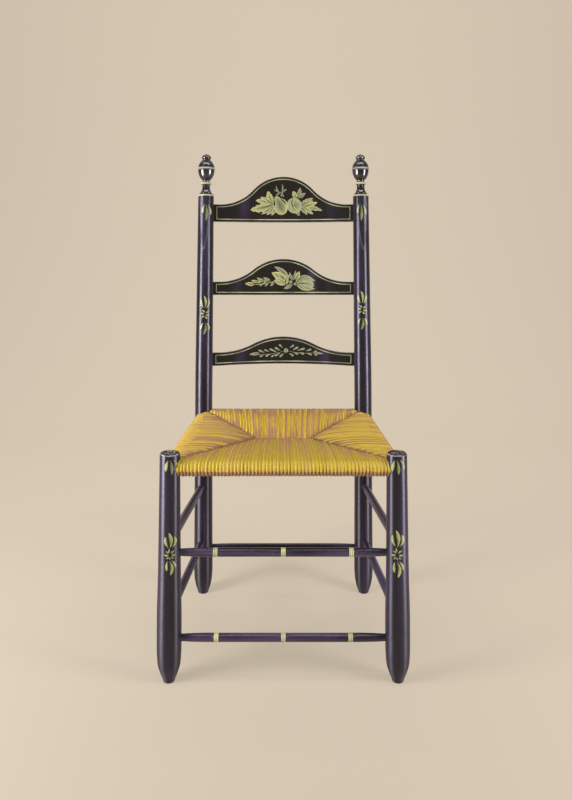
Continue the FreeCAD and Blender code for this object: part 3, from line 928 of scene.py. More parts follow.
@dataclass(frozen=True)
class Stroke:
    """One cut shape: its rib runs from base to tip, in millimetres on the surface."""

    form: Form
    base: Pair
    tip: Pair
    width: float
    bend: float = 0.0
    tone: float = 0.5
    layer: int = 0

    def rib(self, t: float) -> tuple[Vector, Vector]:
        """Find a point on the rib, which is a parabola.

        Args:
            t: the share of its length, from the base.

        Returns:
            The point, and the direction across the rib there.
        """
        base, tip = Vector(self.base), Vector(self.tip)
        way = tip - base
        aside = Vector((-way.y, way.x))
        point = base + way * t + aside * (4 * self.bend * t * (1 - t))
        course = way + aside * (4 * self.bend * (1 - 2 * t))
        return point, Vector((-course.y, course.x)).normalized()


# A maker of strokes for each form, in the forms' order.
LEAF, LOBED, DROP, ROUND, PEAR, STEM, VEIN, BLADE = (partial(Stroke, form) for form in Form)


class Stencil:
    """A stencil's shapes, laid on one surface as thin films of paint.

    The film's measures are in millimetres, and each layer lies a step above the last one. A
    grid's two numbers are its squares along a shape's rib and across it.
    """

    film: float = 0.10
    step: float = 0.06
    sunk: float = 0.05
    wide_forms: tuple[Form, ...] = (Form.ROUND, Form.PEAR, Form.LOBED)
    wide_grid: tuple[int, int] = (28, 8)
    narrow_grid: tuple[int, int] = (14, 4)
    tip_weld: float = 2e-6

    def __init__(self, skin: Skin) -> None:
        """Start a stencil.

        Args:
            skin: the surface, as a function of two places on it and a lift off it.
        """
        self.skin = skin
        self.bm = bmesh.new()
        self.tone = self.bm.verts.layers.float.new("tone")
        self.shade = self.bm.verts.layers.float.new("shade")

    def lay(self, stroke: Stroke) -> None:
        """Lay one shape: a grid drawn out along its rib, then given the film's thickness.

        Args:
            stroke: the shape.
        """
        wide = stroke.form in self.wide_forms
        rows, columns = self.wide_grid if wide else self.narrow_grid
        made = bmesh.ops.create_grid(self.bm, x_segments=rows, y_segments=columns, size=0.5)
        verts = made["verts"]
        lift = (self.film + self.step * stroke.layer) * MM
        for vert in verts:
            t, s = vert.co.x + 0.5, vert.co.y * 2
            if stroke.form is not Form.LOBED:
                t = (1 - math.cos(math.pi * t)) / 2
            t = min(1.0, max(0.0, t))
            point, across = stroke.rib(t)
            point += across * (s * stroke.width / 2 * stroke.form.width(t))
            vert[self.tone] = stroke.tone
            vert[self.shade] = stroke.form.shade(t, math.copysign(s, s * stroke.bend))
            vert.co = self.skin(point.x * MM, point.y * MM, lift)
        faces = list({face for vert in verts for face in vert.link_faces})
        self.thicken(faces, lift + self.sunk * MM)

    def thicken(self, faces: list[BMFace], depth: float) -> None:
        """Give faces that lie on the surface a thickness down into it.

        Args:
            faces: the faces, whose points may coincide at a tip.
            depth: the thickness.
        """
        verts = list({vert for face in faces for vert in face.verts})
        bmesh.ops.remove_doubles(self.bm, verts=verts, dist=self.tip_weld)
        faces = [face for face in faces if face.is_valid]
        bmesh.ops.solidify(self.bm, geom=faces, thickness=depth)

    def piece(self, name: str, material: Material) -> Object:
        """Finish the stencil as a piece of the chair."""
        face_out(self.bm)
        return enter(stand(self.bm, name, material), "black_paint")


# Posts.


@dataclass(frozen=True)
class Post:
    """A turned post on a line of the chair's layout.

    The sprig on this post is grown about its middle, which lies `sprig_height` millimetres up,
    raised by some millimetres and turned inwards round the post.
    """

    layout: Layout
    side: Side
    finishes: Finishes = field(repr=False)
    sprig_growth: float = 1.0
    sprig_raise: float = 0.0
    sprig_turn: float = math.radians(9.3)
    sprig_height: float = 265
    tangent_reach: float = 0.002

    @cached_property
    def outline(self) -> Run:
        """The post's outline, worked out once."""
        return self.run()

    def axis(self, height: float) -> Vector:
        """Return the point of the post's axis at a height."""
        raise NotImplementedError

    def run(self) -> Run:
        """Return the post's turned outline."""
        raise NotImplementedError

    def place(self, point: Vector) -> Vector:
        """Carry a point of the straight turning to the leaning or bent post.

        Args:
            point: the point, with the turning's axis on Z.

        Returns:
            The point in the chair's frame.
        """
        centre = self.axis(point.z)
        reach = self.tangent_reach
        up = (self.axis(point.z + reach) - self.axis(point.z - reach)).normalized()
        across = (ACROSS - up * up.x).normalized()
        return centre + across * point.x + up.cross(across) * point.y

    def skin(self, around: float, height: float, lift: float) -> Vector:
        """Find a point on the post's face.

        Args:
            around: the distance round the post from its sprigs' line.
            height: the height along the turning.
            lift: the distance off the face.

        Returns:
            The point in the chair's frame.
        """
        radius = read_run(self.outline, height)
        angle = around / radius - self.side.value * self.sprig_turn
        reach = radius + lift
        return self.place(Vector((reach * math.sin(angle), -reach * math.cos(angle), height)))

    def fitted(self, point: Pair) -> Pair:
        """Grow a point of the sprig about its middle and raise it, as it is painted here."""
        up = (point[1] - self.sprig_height) * self.sprig_growth
        return point[0], self.sprig_height + up + self.sprig_raise

    def dress(self, name: str, pendant: list[Stroke], sprig: list[Stroke]) -> None:
        """Paint the post's pendant and sprig.

        Args:
            name: the post's name.
            pendant: the shapes of the pendant, which hangs from the post's top.
            sprig: the shapes of the sprig, before it is fitted to this post.
        """
        stencil = Stencil(self.skin)
        grown = [replace(stroke, base=self.fitted(stroke.base), tip=self.fitted(stroke.tip))
                 for stroke in sprig]
        for stroke in pendant + grown:
            stencil.lay(stroke)
        stencil.piece(name + "_sprigs", self.finishes.sprig)


@dataclass(frozen=True)
class FrontPost(Post):
    """A front post: a long swell, a tapered foot and a flat top with two lathe rings.

    The stations are shares of the height and of the radius. A ring's cut is given as distances
    outwards from its own circle and depths below the top, in millimetres.
    """

    radius: float = 0.0238
    stations: tuple[Pair, ...] = (
        (-0.02, 0.44), (0.0, 0.46), (0.036, 0.70), (0.080, 0.93), (0.15, 1.0), (0.26, 1.0),
        (0.50, 0.91), (1.0, 0.80),
    )
    edge_round: float = 3 * MM
    edge_turns: tuple[float, ...] = (0.0, 0.4, 0.8, 1.2, math.pi / 2)
    ring_shares: Pair = (0.66, 0.34)
    ring_cut: tuple[Pair, ...] = (
        (1.1, 0), (0.5, 0.45), (0, 0.7), (-0.5, 0.45), (-1.1, 0),
    )

    def axis(self, height: float) -> Vector:
        """Return the point of the post's axis at a height."""
        return self.layout.front_axis(self.side, height)

    def run(self) -> Run:
        """Draw the outline.

        Returns:
            The run from below the floor to the middle of the top.
        """
        top, edge_round = self.layout.front_top, self.edge_round
        leg = eased([(top * up, self.radius * out) for up, out in self.stations], LEG_PACE)
        rim = leg[-1][1]
        edge = [(top - edge_round * (1 - math.sin(a)), rim - edge_round * (1 - math.cos(a)))
                for a in self.edge_turns]
        face = [(top - depth * MM, rim * share + out * MM)
                for share in self.ring_shares for out, depth in self.ring_cut]
        return joined([point for point in leg if point[0] < top - edge_round], edge, face,
                      [(top, 0.0)])

    def build(self) -> None:
        """Build the post and its sprigs."""
        name = "front_post_" + self.side.tag
        bm = turned(self.outline)
        rub_and_sheen_edges(bm)
        radius = bm.verts.layers.float.new("radius")
        for vert in bm.verts:
            vert[radius] = vert.co.xy.length
        for face in bm.faces:
            face.material_index = int(face.calc_center_median().z > self.layout.front_top - MM)
        moved(bm, self.place)
        level_foot(bm)
        post = stand(bm, name + "_turned", self.finishes.upright, self.finishes.post_top)
        enter(post, "black_paint", name)
        self.dress(name, PENDANT_FRONT, SPRIG_FRONT)


@dataclass(frozen=True)
class RearPost(Post):
    """A rear post: tapered foot, steamed bend, tapered back and a turned finial.

    The foot's stations are shares of the height of the bend and of the radius. The finial's
    measures are in millimetres above the shoulder: its turning as (height, radius) points, and
    its painted rings by where they start and end.
    """

    sprig_turn: float = math.radians(6.3)
    sprig_height: float = 662
    radius: float = 0.0201
    top_radius: float = 0.0183
    foot: tuple[Pair, ...] = (
        (-0.02, 0.55), (0.0, 0.58), (0.036, 0.85), (0.080, 1.03), (0.14, 1.09), (0.30, 1.07),
        (1.0, 1.0),
    )
    bead: Pair = (0.4, 3.6)
    collar: Pair = (29.0, 33.6)
    ball_ring: Pair = (64.2, 66.8)

    def axis(self, height: float) -> Vector:
        """Find a point on the post's axis.

        Args:
            height: the height, which in the finial is measured along the post.

        Returns:
            The point in the chair's frame.
        """
        shoulder = self.layout.shoulder
        if height > shoulder:
            slope = math.cos(self.layout.high_rake) * math.cos(self.layout.rear_lean)
            height = shoulder + (height - shoulder) * slope
        return self.layout.rear_axis(self.side, height)

    def run(self) -> Run:
        """Draw the outline.

        Returns:
            The run from below the floor to the finial's tip.
        """
        lay = self.layout
        bend_end = lay.bend_start + lay.bend_length
        leg = eased([(lay.bend_start * up, self.radius * out) for up, out in self.foot], LEG_PACE)
        bend = eased([(lay.bend_start, self.radius), (bend_end, self.radius)], BEND_PACE)
        back = eased([(bend_end, self.radius), (lay.shoulder, self.top_radius)], LONG_PACE)
        return joined(leg, bend, back, self.neck(), self.ball(), self.cap())

    def neck(self) -> Run:
        """Draw the finial's bead, its hollow neck and the collar.

        Returns:
            The run from the shoulder to the stem under the ball.
        """
        bead = [(0, 18.3), (0.5, 19.0), (1.3, 19.3), (2.7, 19.3), (3.5, 19.0), (4, 18.3)]
        hollow = [(4, 18.1), (7, 15.2), (11, 12.2), (16, 10.0), (21, 9.0), (28, 9.0)]
        collar = [(28, 9.2), (28.4, 10.8), (29.2, 11.9), (30.4, 12.3), (32.2, 12.3),
                  (33.4, 11.9), (34.2, 10.8), (34.6, 8.6)]
        stem = [(35.4, 8.4), (37.6, 8.4)]
        start = self.layout.shoulder
        return joined(raised(bead, start), eased(raised(hollow, start), FINIAL_PACE),
                      raised(collar, start), raised(stem, start))

    def ball(self) -> Run:
        """Draw the finial's ball with the ring round it.

        Returns:
            The run from the stem to the neck of the cap.
        """
        lower = [(38.5, 8.9), (41, 11.8), (46.8, 15.6), (54, 18.3), (60, 19.2), (62.9, 19.3)]
        ring = [(63.2, 18.9), (63.6, 19.6), (64.4, 20.3), (65.5, 20.5), (66.6, 20.3),
                (67.4, 19.6), (67.8, 18.9)]
        upper = [(68.1, 19.2), (72, 18.6), (77, 16.6), (81.5, 13.6), (85, 10.4), (86.5, 8.5)]
        start = self.layout.shoulder
        return joined(eased(raised(lower, start), FINIAL_PACE), raised(ring, start),
                      eased(raised(upper, start), FINIAL_PACE))

    def cap(self) -> Run:
        """Draw the finial's cap.

        Returns:
            The run from the neck of the cap to the tip.
        """
        cap = [(87.4, 8.8), (89.2, 10.3), (91.5, 11.2), (94, 10.3), (96.6, 7.8), (98.8, 4.4),
               (99.8, 1.6)]
        start = self.layout.shoulder
        return joined(eased(raised(cap, start), CAP_PACE), raised([(100, 0)], start))

    def finish_at(self, height: float) -> int:
        """Choose the finish at a height.

        Args:
            height: the height along the turning.

        Returns:
            The material's number: 0 post, 1 painted ring, 2 finial.
        """
        up = (height - self.layout.shoulder) / MM
        if any(low < up < high for low, high in (self.bead, self.collar, self.ball_ring)):
            return 1
        return 2 if up > 0 else 0

    def build(self) -> None:
        """Build the post with its painted rings, and its sprigs."""
        name = "rear_post_" + self.side.tag
        bm = turned(self.outline)
        rub_and_sheen_edges(bm)
        for face in bm.faces:
            face.material_index = self.finish_at(face.calc_center_median().z)
        moved(bm, self.place)
        level_foot(bm)
        post = stand(bm, name + "_turned", self.finishes.upright, self.finishes.ring,
                     self.finishes.finial)
        enter(post, "black_paint", name)
        self.dress(name, PENDANT_REAR, SPRIG_REAR)


PENDANT_FRONT = [
    BLADE((-3, 447), (-8, 425), 6.2, -0.06, 0.9),
    BLADE((0, 448), (3, 419), 5.6, 0.06, 0.3),
    BLADE((5, 448), (14, 427), 4.5, 0.14, 0.8),
]
SPRIG_FRONT = [
    BLADE((-2, 278), (-8, 299), 5.4, 0.12, 0.8),
    BLADE((0, 277), (-2, 307), 6.8, -0.12, 0.7),
    BLADE((4, 279), (9, 299), 6.2, -0.22, 1.0),
    LEAF((-2, 264), (-11, 264), 3.2, 0.08, 0.9),
    LEAF((-2, 267), (-8, 271), 3.0, -0.10, 0.6),
    LEAF((0, 269), (-1, 277), 3.0, 0.10, 0.7),
    LEAF((3, 267), (9, 272), 3.2, 0.10, 0.8),
    LEAF((3, 264), (12, 264), 3.2, -0.08, 0.9),
    LEAF((-2, 261), (-7, 257), 3.0, 0.10, 0.6),
    LEAF((3, 261), (8, 257), 3.0, -0.10, 0.5),
    LEAF((0, 260), (1, 255), 2.6, 0.0, 0.6),
    BLADE((-4, 253), (-5, 233), 5.0, -0.06, 0.8),
    BLADE((-1, 253), (1, 225), 6.0, 0.16, 0.8),
    BLADE((3, 254), (12, 237), 4.6, 0.10, 1.0),
]
PENDANT_REAR = [
    BLADE((-3, 917), (-7, 895), 4.8, -0.08, 0.8),
    BLADE((0, 917), (0, 878), 6.2, 0.05, 0.15),
    BLADE((4, 915), (11, 891), 5.0, 0.12, 1.0),
]
SPRIG_REAR = [
    BLADE((-3, 676), (-9, 697), 4.6, 0.08, 0.9),
    BLADE((0, 676), (-2, 705), 5.2, -0.10, 0.6),
    BLADE((3, 676), (9, 698), 5.2, -0.14, 0.9),
    LEAF((-1, 666), (-7, 671), 3.2, -0.25, 0.8),
    LEAF((-2, 662), (-10, 663), 3.2, -0.20, 0.9),
    LEAF((-1, 658), (-7, 653), 3.2, -0.20, 0.7),
    LEAF((2, 666), (8, 671), 3.2, -0.20, 0.7),
    LEAF((3, 662), (11, 661), 3.2, -0.20, 0.9),
    LEAF((2, 658), (8, 653), 3.2, -0.25, 0.8),
    BLADE((-3, 643), (-9, 627), 4.4, -0.10, 0.9),
    BLADE((0, 644), (-3, 616), 5.6, 0.14, 0.2),
    BLADE((4, 643), (11, 626), 4.8, 0.12, 1.0),
]


# Stretchers.


@dataclass(frozen=True)
class Stretcher:
    """A round stretcher between two post axes, swelling gently towards its middle.

    The gap is the distance from a post's axis to where the taper starts. The taper has its full
    length and, as shares of its length and of the middle's radius, the place where it turns. The
    bands are places measured from the middle, each with three rings a step apart.
    """

    name: str
    start: Vector
    end: Vector
    paint: Material
    line: Material
    gap: float
    bands: tuple[float, ...] = ()
    end_radius: float = 0.0068
    middle_radius: float = 0.0083
    taper: float = 0.050
    taper_turn: Pair = (0.45, 0.945)
    tenon: float = 0.012
    band_reach: float = 0.0044
    ring_step: float = band_reach * 0.68
    ring_reach: float = band_reach * 0.26
    ring_flat: float = 0.7
    ring_height: float = 0.25 * MM
    turn_steps: int = 40

    def run(self) -> Run:
        """Draw the outline along the stretcher, both ends closed inside the posts.

        Returns:
            The run from one tenon's end to the other.
        """
        length = (self.end - self.start).length
        near, far = self.gap, length - self.gap
        share, radius_share = self.taper_turn
        rise = ((0.0, self.end_radius), (self.taper * share, self.middle_radius * radius_share),
                (self.taper, self.middle_radius))
        tenon = near - self.tenon
        return joined([(tenon, 0), (tenon, self.end_radius)],
                      eased([(near + along, radius) for along, radius in rise]),
                      self.rings(length / 2),
                      eased([(far - along, radius) for along, radius in reversed(rise)]),
                      [(length - tenon, self.end_radius), (length - tenon, 0)])

    def rings(self, half: float) -> Run:
        """Draw the raised rings of the bands, three to a band.

        Args:
            half: half the length between the posts' axes.

        Returns:
            The run over every ring.
        """
        low, high = self.middle_radius, self.middle_radius + self.ring_height
        flat = self.ring_reach * self.ring_flat
        run: Run = []
        for place in sorted(self.bands):
            for ring in (-1, 0, 1):
                centre = half + place + ring * self.ring_step
                run += [(centre - self.ring_reach, low), (centre - flat, high),
                        (centre + flat, high), (centre + self.ring_reach, low)]
        return run

    def build(self) -> None:
        """Build the stretcher with its painted bands."""
        bm = turned(self.run(), self.turn_steps)
        half = (self.end - self.start).length / 2
        for face in bm.faces:
            face.material_index = int(face.calc_center_median().xy.length > 0 and self.banded(
                face.calc_center_bounds().z - half))
        turn = UP.rotation_difference(self.end - self.start)
        moved(bm, lambda point: self.start + turn @ point)
        rub_and_sheen_edges(bm)
        piece = stand(bm, self.name + "_turned", self.paint, self.line)
        enter(piece, "black_paint", self.name)

    def banded(self, along: float) -> bool:
        """Say whether a place, measured from the middle, lies in a painted ring."""
        return any(abs(along - place - ring * self.ring_step) < self.ring_reach
                   for place in self.bands for ring in (-1, 0, 1))


# Slats.


class Pencil:
    """Draws the slats' outline in a mesh, flat in XZ."""

    def __init__(self, bm: BMesh, x: float, z: float) -> None:
        """Set the pencil down in a mesh, at a place across and a height."""
        self.bm = bm
        self.tip = bm.verts.new((x, 0, z))

    def step(self, x: float, z: float) -> None:
        """Draw a straight line.

        Args:
            x: where it ends, across.
            z: where it ends, in height.
        """
        end = self.bm.verts.new((x, 0, z))
        self.bm.edges.new((self.tip, end))
        self.tip = end

    def sweep(self, x: float, z: float, angle: float, steps: int) -> None:
        """Draw an arc.

        Args:
            x: the arc's centre, across.
            z: the arc's centre, in height.
            angle: how far it turns, in radians.
            steps: how many straight pieces it has.
        """
        made = bmesh.ops.spin(self.bm, geom=[self.tip], cent=(x, 0, z), axis=(0, 1, 0),
                              angle=angle, steps=steps, use_duplicate=False)
        self.tip = made["geom_last"][0]


@dataclass(frozen=True)
class Slat:
    """A bowed slat: level shoulders, hollow flanks and a round crown, let into both posts.

    The rise is measured from the rails to the slat's lower edge. From there up, the end is the
    height of its shoulders and the crown that of its middle, and the arch is how far the lower
    edge is cut away in the middle.
    """

    name: str
    layout: Layout
    finishes: Finishes = field(repr=False)
    rise: float
    end: float
    crown: float
    arch: float
    strokes: list[Stroke] = field(repr=False)
    thickness: float = 0.008
    bow: float = 0.020
    tenon_inset: float = 0.003
    shoulder: float = 0.013
    crown_share: float = 0.47
    arch_steps: int = 12
    curve_steps: int = 14
    rim_bevel: float = 1.3 * MM
    # The rim band where rubbing and a painted edge sheen lie.
    rub_and_sheen_rim: float = 0.0025
    border_gap: float = 1.2 * MM
    border_inset: float = 0.0052
    border_width: float = 0.0019
    border_lift: float = 0.09 * MM
    border_film: float = 0.14 * MM

    @property
    def post_x(self) -> float:
        """How far the post's axis lies from the middle of the chair."""
        return self.layout.rear_axis(Side.RIGHT, self.layout.rail_height + self.rise
                                     + self.end / 2).x

    @property
    def post_radius(self) -> float:
        """The radius of the rear posts at the slat.

        Returns:
            The radius, from the posts' long taper.
        """
        start = self.layout.bend_start + self.layout.bend_length
        height = self.layout.rail_height + self.rise + self.end / 2
        share = max(0.0, (height - start) / (self.layout.shoulder - start))
        return RearPost.radius + (RearPost.top_radius - RearPost.radius) * share

    def place(self, x: float, z: float, offset: float) -> Vector:
        """Carry a point of the flat board to the bowed slat.

        Args:
            x: the distance across from the middle.
            z: the height above the slat's lower edge.
            offset: the distance behind the middle of the slat's thickness.

        Returns:
            The point in the chair's frame.
        """
        rake = self.layout.high_rake
        radius = (self.post_x**2 + self.bow**2) / (2 * self.bow)
        depth = self.bow - radius + math.sqrt((radius + offset) ** 2 - x * x)
        base = self.layout.rear_axis(Side.RIGHT, self.layout.rail_height + self.rise)
        up = Vector((0, math.sin(rake), math.cos(rake)))
        back = Vector((0, math.cos(rake), -math.sin(rake)))
        return Vector((x, base.y, base.z)) + back * depth + up * z

    def skin(self, x: float, z: float, lift: float) -> Vector:
        """Return a point on the slat's front face."""
        return self.place(x, z, -self.thickness / 2 - lift)

    def outline(self, bm: BMesh, half_length: float) -> BMFace:
        """Draw the slat's face, flat in XZ, out to `half_length` on each side.

        The right half is drawn from its lowest middle point and mirrored.

        Args:
            bm: the mesh to draw in.
            half_length: where the face ends.

        Returns:
            The face.
        """
        span = self.post_x - self.post_radius - self.shoulder
        rise = self.crown - self.end
        both = (span**2 + rise**2) / (2 * rise)
        crown = both * self.crown_share
        hollow = both - crown
        turn = math.asin(span / both)
        pencil = Pencil(bm, 0, self.arch)
        if self.arch > 0:
            under = (span**2 + self.arch**2) / (2 * self.arch)
            pencil.sweep(0, self.arch - under, math.asin(span / under), self.arch_steps)
        pencil.step(half_length, 0)
        pencil.step(half_length, self.end)
        pencil.step(span, self.end)
        pencil.sweep(span, self.end + hollow, turn, self.curve_steps)
        pencil.sweep(0, self.crown - crown, -turn, self.curve_steps)
        bmesh.ops.mirror(bm, geom=bm.verts[:] + bm.edges[:], axis="X", merge_dist=MIRROR_WELD)
        made = bmesh.ops.contextual_create(bm, geom=bm.edges[:])
        return made["faces"][0]

    def board(self) -> BMesh:
        """Cut the board, thicken it, ease its edges and bow it.

        Returns:
            The board's mesh, in place.
        """
        bm = bmesh.new()
        half_length = self.post_x - self.tenon_inset
        face = self.outline(bm, half_length)
        made = bmesh.ops.extrude_face_region(bm, geom=[face])
        far = [item for item in made["geom"] if isinstance(item, BMVert)]
        bmesh.ops.translate(bm, verts=far, vec=(0, self.thickness, 0))
        face_out(bm)
        rims = [edge for edge in bm.edges
                if abs(edge.verts[0].co.y - edge.verts[1].co.y) < SAME_PLACE]
        bmesh.ops.bevel(bm, geom=rims, offset=self.rim_bevel, offset_type="OFFSET", segments=3,
                        profile=0.5, affect="EDGES", material=-1, clamp_overlap=True)
        broad = [face for face in bm.faces if abs(face.normal.y) > 0.99]
        bmesh.ops.inset_individual(bm, faces=broad, thickness=self.rub_and_sheen_rim, depth=0.0,
                                   use_even_offset=True)
        sliced(bm, half_length)
        rub_and_sheen_edges(bm)
        moved(bm, lambda p: self.place(p.x, p.z, p.y - self.thickness / 2))
        face_out(bm)
        return bm

    def border(self) -> BMesh:
        """Draw the painted line that runs round the slat's face.

        Returns:
            The line's mesh, in place.
        """
        bm = bmesh.new()
        face = self.outline(bm, self.post_x - self.post_radius - self.border_gap)
        bmesh.ops.inset_region(bm, faces=[face], thickness=self.border_inset, depth=0.0,
                               use_boundary=True, use_even_offset=True)
        made = bmesh.ops.inset_region(bm, faces=[face], thickness=self.border_width, depth=0.0,
                                      use_boundary=True, use_even_offset=True)
        line = set(made["faces"])
        bmesh.ops.delete(bm, geom=[f for f in bm.faces if f not in line], context="FACES")
        sliced(bm, self.post_x)
        moved(bm, lambda p: self.skin(p.x, p.z, self.border_lift))
        bmesh.ops.solidify(bm, geom=bm.faces[:], thickness=self.border_film)
        face_out(bm)
        return bm

    def build(self) -> None:
        """Build the slat, its border and its stencil."""
        board = stand(self.board(), self.name + "_board", self.finishes.boards[self.name])
        enter(board, "black_paint", self.name)
        enter(stand(self.border(), self.name + "_border", self.finishes.border), "black_paint")
        stencil = Stencil(self.skin)
        for stroke in self.strokes:
            stencil.lay(stroke)
        stencil.piece(self.name + "_stencil", self.finishes.stencil)


FRUIT = [
    LOBED((-24, 42), (-78, 29), 25, 0.03, 0.75, 0),
    LOBED((-26, 44), (-65, 51), 19, -0.05, 0.80, 1),
    LOBED((-26, 44), (-36, 74), 19, 0.05, 0.90, 2),
    LEAF((-27, 44), (-54, 60), 9, -0.05, 0.90, 3),
    LEAF((-24, 41), (-53, 19), 9, 0.08, 0.45, 2),
    LEAF((-22, 41), (-40, 17), 10, 0.08, 0.60, 3),
    LEAF((-19, 38), (-28, 16), 10, 0.05, 0.70, 4),
    VEIN((-26, 43), (-62, 33), 0.9, 0.03, 0.3, 4),
    VEIN((-26, 44), (-52, 49), 0.8, -0.05, 0.3, 4),
    VEIN((-26, 45), (-34, 67), 0.8, 0.05, 0.3, 4),
    VEIN((-24, 41), (-45, 25), 0.8, 0.06, 0.3, 4),
    PEAR((-18, 61), (-1, 18), 29, 0.03, 0.55, 5),
    DROP((-15, 58), (7, 27), 4, 0.30, 1.0, 6),
    DROP((-20, 56), (-13, 24), 3, -0.22, 0.80, 6),
    VEIN((-14, 56), (1, 24), 1.4, 0.16, 0.3, 6),
    STEM((-18, 61), (-10, 69), 1.8, 0.10, 0.4, 6),
    LOBED((30, 57), (23, 74), 14, 0.0, 0.90, 2),
    LOBED((36, 57), (40, 82), 12, 0.0, 0.10, 1),
    LEAF((40, 57), (53, 69), 8, 0.10, 0.10, 2),
    LOBED((42, 44), (70, 57), 12, 0.0, 0.50, 1),
    LEAF((42, 42), (71, 51), 8, 0.0, 0.40, 2),
    LOBED((44, 38), (92, 27), 14, 0.03, 0.35, 1),
    LOBED((50, 36), (80, 47), 14, 0.0, 1.0, 3),
    LOBED((47, 37), (70, 19), 12, 0.0, 0.80, 2),
    LEAF((40, 37), (56, 17), 10, 0.05, 0.50, 3),
    LEAF((31, 32), (38, 15), 10, -0.05, 0.10, 2),
    VEIN((46, 38), (74, 44), 0.8, 0.0, 0.3, 4),
    VEIN((46, 37), (66, 23), 0.8, 0.0, 0.3, 4),
    ROUND((17, 56), (35, 23), 35, 0.0, 0.35, 5),
    LEAF((24, 57), (39, 26), 8, -0.30, 1.0, 6),
    LEAF((19, 53), (28, 25), 8, -0.06, 0.85, 6),
    VEIN((22, 56), (34, 25), 1.5, -0.22, 0.3, 7),
    VEIN((13, 50), (22, 24), 1.2, 0.20, 0.3, 7),
    LEAF((-10, 69), (-23, 77), 2.8, -0.10, 0.20, 5),
    LEAF((-8, 69), (-17, 87), 3.2, 0.12, 0.30, 5),
    LEAF((-4, 69), (-3, 91), 3.6, -0.08, 0.20, 5),
    LEAF((-2, 70), (9, 79), 3.2, 0.08, 0.30, 5),
    LEAF((-4, 73), (2, 60), 3.4, -0.10, 0.20, 5),
    LEAF((-4, 72), (-6, 60), 3.2, 0.05, 0.30, 5),
    STEM((-14, 64), (-4, 72), 1.6, 0.10, 0.40, 5),
]
FLOWERS = [
    STEM((-21, 33), (-71, 25), 2, 0.05, 0.50, 0),
    LEAF((-69, 25), (-91, 27), 9, 0.0, 0.80, 1),
    LEAF((-59, 31), (-76, 35), 7, 0.05, 0.70, 1),
    LEAF((-46, 33), (-63, 41), 7, 0.05, 0.40, 1),
    LEAF((-31, 34), (-48, 42), 7, 0.05, 0.50, 1),
    LEAF((-47, 29), (-57, 21), 4, 0.05, 0.40, 1),
    LEAF((-36, 30), (-44, 20), 4, 0.05, 0.50, 1),
    LEAF((-23, 31), (-31, 21), 5, 0.05, 0.60, 1),
    LEAF((-51, 35), (-60, 27), 6, -0.10, 0.70, 2),
    LEAF((-38, 37), (-46, 27), 6, -0.10, 0.70, 2),
    LEAF((13, 36), (-23, 34), 17, 0.12, 0.65, 2),
    LEAF((10, 33), (-28, 53), 22, -0.02, 0.90, 3),
    LEAF((11, 34), (-22, 67), 13, -0.12, 0.15, 4),
    LEAF((11, 32), (-13, 54), 17, 0.05, 0.80, 5),
    VEIN((8, 34), (-20, 48), 0.9, 0.0, 0.3, 6),
    LEAF((5, 23), (15, 48), 10, 0.15, 0.60, 6),
    LEAF((4, 23), (-21, 36), 7, -0.20, 0.80, 6),
    LEAF((24, 35), (15, 54), 7, 0.10, 0.20, 3),
    LEAF((26, 36), (29, 58), 6, 0.0, 0.30, 3),
    LEAF((31, 39), (38, 56), 10, 0.0, 0.95, 4),
    LEAF((29, 36), (45, 43), 7, 0.05, 0.30, 3),
    ROUND((14, 31), (21, 31), 7, 0.0, 0.30, 7),
    ROUND((24, 26), (30, 26), 6, 0.0, 0.30, 7),
    LOBED((21, 26), (1, 15), 11, 0.05, 0.10, 3),
    ROUND((34, 27), (72, 24), 25, 0.0, 0.40, 2),
    LEAF((29, 29), (75, 32), 13, 0.20, 0.70, 3),
    LEAF((33, 33), (64, 43), 9, 0.15, 0.15, 4),
    LEAF((31, 27), (75, 16), 12, -0.12, 0.60, 3),
    LEAF((32, 27), (73, 24), 10, 0.05, 0.40, 5),
    LEAF((36, 23), (60, 12), 7, -0.10, 0.80, 5),
    VEIN((34, 30), (66, 33), 0.9, 0.12, 0.3, 6),
    VEIN((34, 26), (66, 19), 0.9, -0.10, 0.3, 6),
]
LAUREL = [
    ROUND((1, 35), (11, 35), 10, 0.0, 0.16, 1),
    STEM((1, 34), (-63, 26), 0.9, 0.05, 0.30, 0),
    STEM((11, 34), (72, 30), 0.9, -0.05, 0.30, 0),
    DROP((-1, 41), (-10, 49), 4, 0.0, 0.12, 1),
    DROP((-7, 35), (-20, 42), 4.5, 0.0, 0.12, 1),
    DROP((-15, 31), (-33, 39), 4.5, 0.0, 0.24, 1),
    DROP((-33, 32), (-45, 37), 4, 0.0, 0.12, 1),
    DROP((-44, 30), (-59, 36), 4, 0.0, 0.16, 1),
    LEAF((-56, 28), (-81, 26), 7, 0.0, 0.24, 1),
    DROP((-46, 24), (-56, 21), 4, 0.0, 0.08, 1),
    DROP((-30, 27), (-42, 21), 4, 0.0, 0.12, 1),
    DROP((-18, 26), (-29, 20), 3.5, 0.0, 0.08, 1),
    DROP((-7, 30), (-20, 22), 4, 0.0, 0.20, 1),
    DROP((2, 29), (-9, 20), 4.5, 0.0, 0.12, 1),
    DROP((14, 41), (25, 48), 4, 0.0, 0.12, 1),
    DROP((21, 36), (35, 43), 4.5, 0.0, 0.24, 1),
    DROP((32, 35), (51, 40), 4.5, 0.0, 0.12, 1),
    DROP((53, 34), (66, 38), 4, 0.0, 0.12, 1),
    DROP((69, 31), (79, 34), 3.5, 0.0, 0.16, 1),
    LEAF((72, 30), (95, 28), 4.5, 0.0, 0.28, 1),
    DROP((13, 29), (24, 22), 4.5, 0.0, 0.12, 1),
    DROP((23, 31), (35, 26), 4, 0.0, 0.08, 1),
    DROP((37, 30), (49, 27), 5, 0.0, 0.20, 1),
    DROP((54, 29), (67, 25), 4, 0.0, 0.08, 1),
    DROP((70, 28), (80, 24), 4, 0.0, 0.08, 1),
]


# Rush seat.


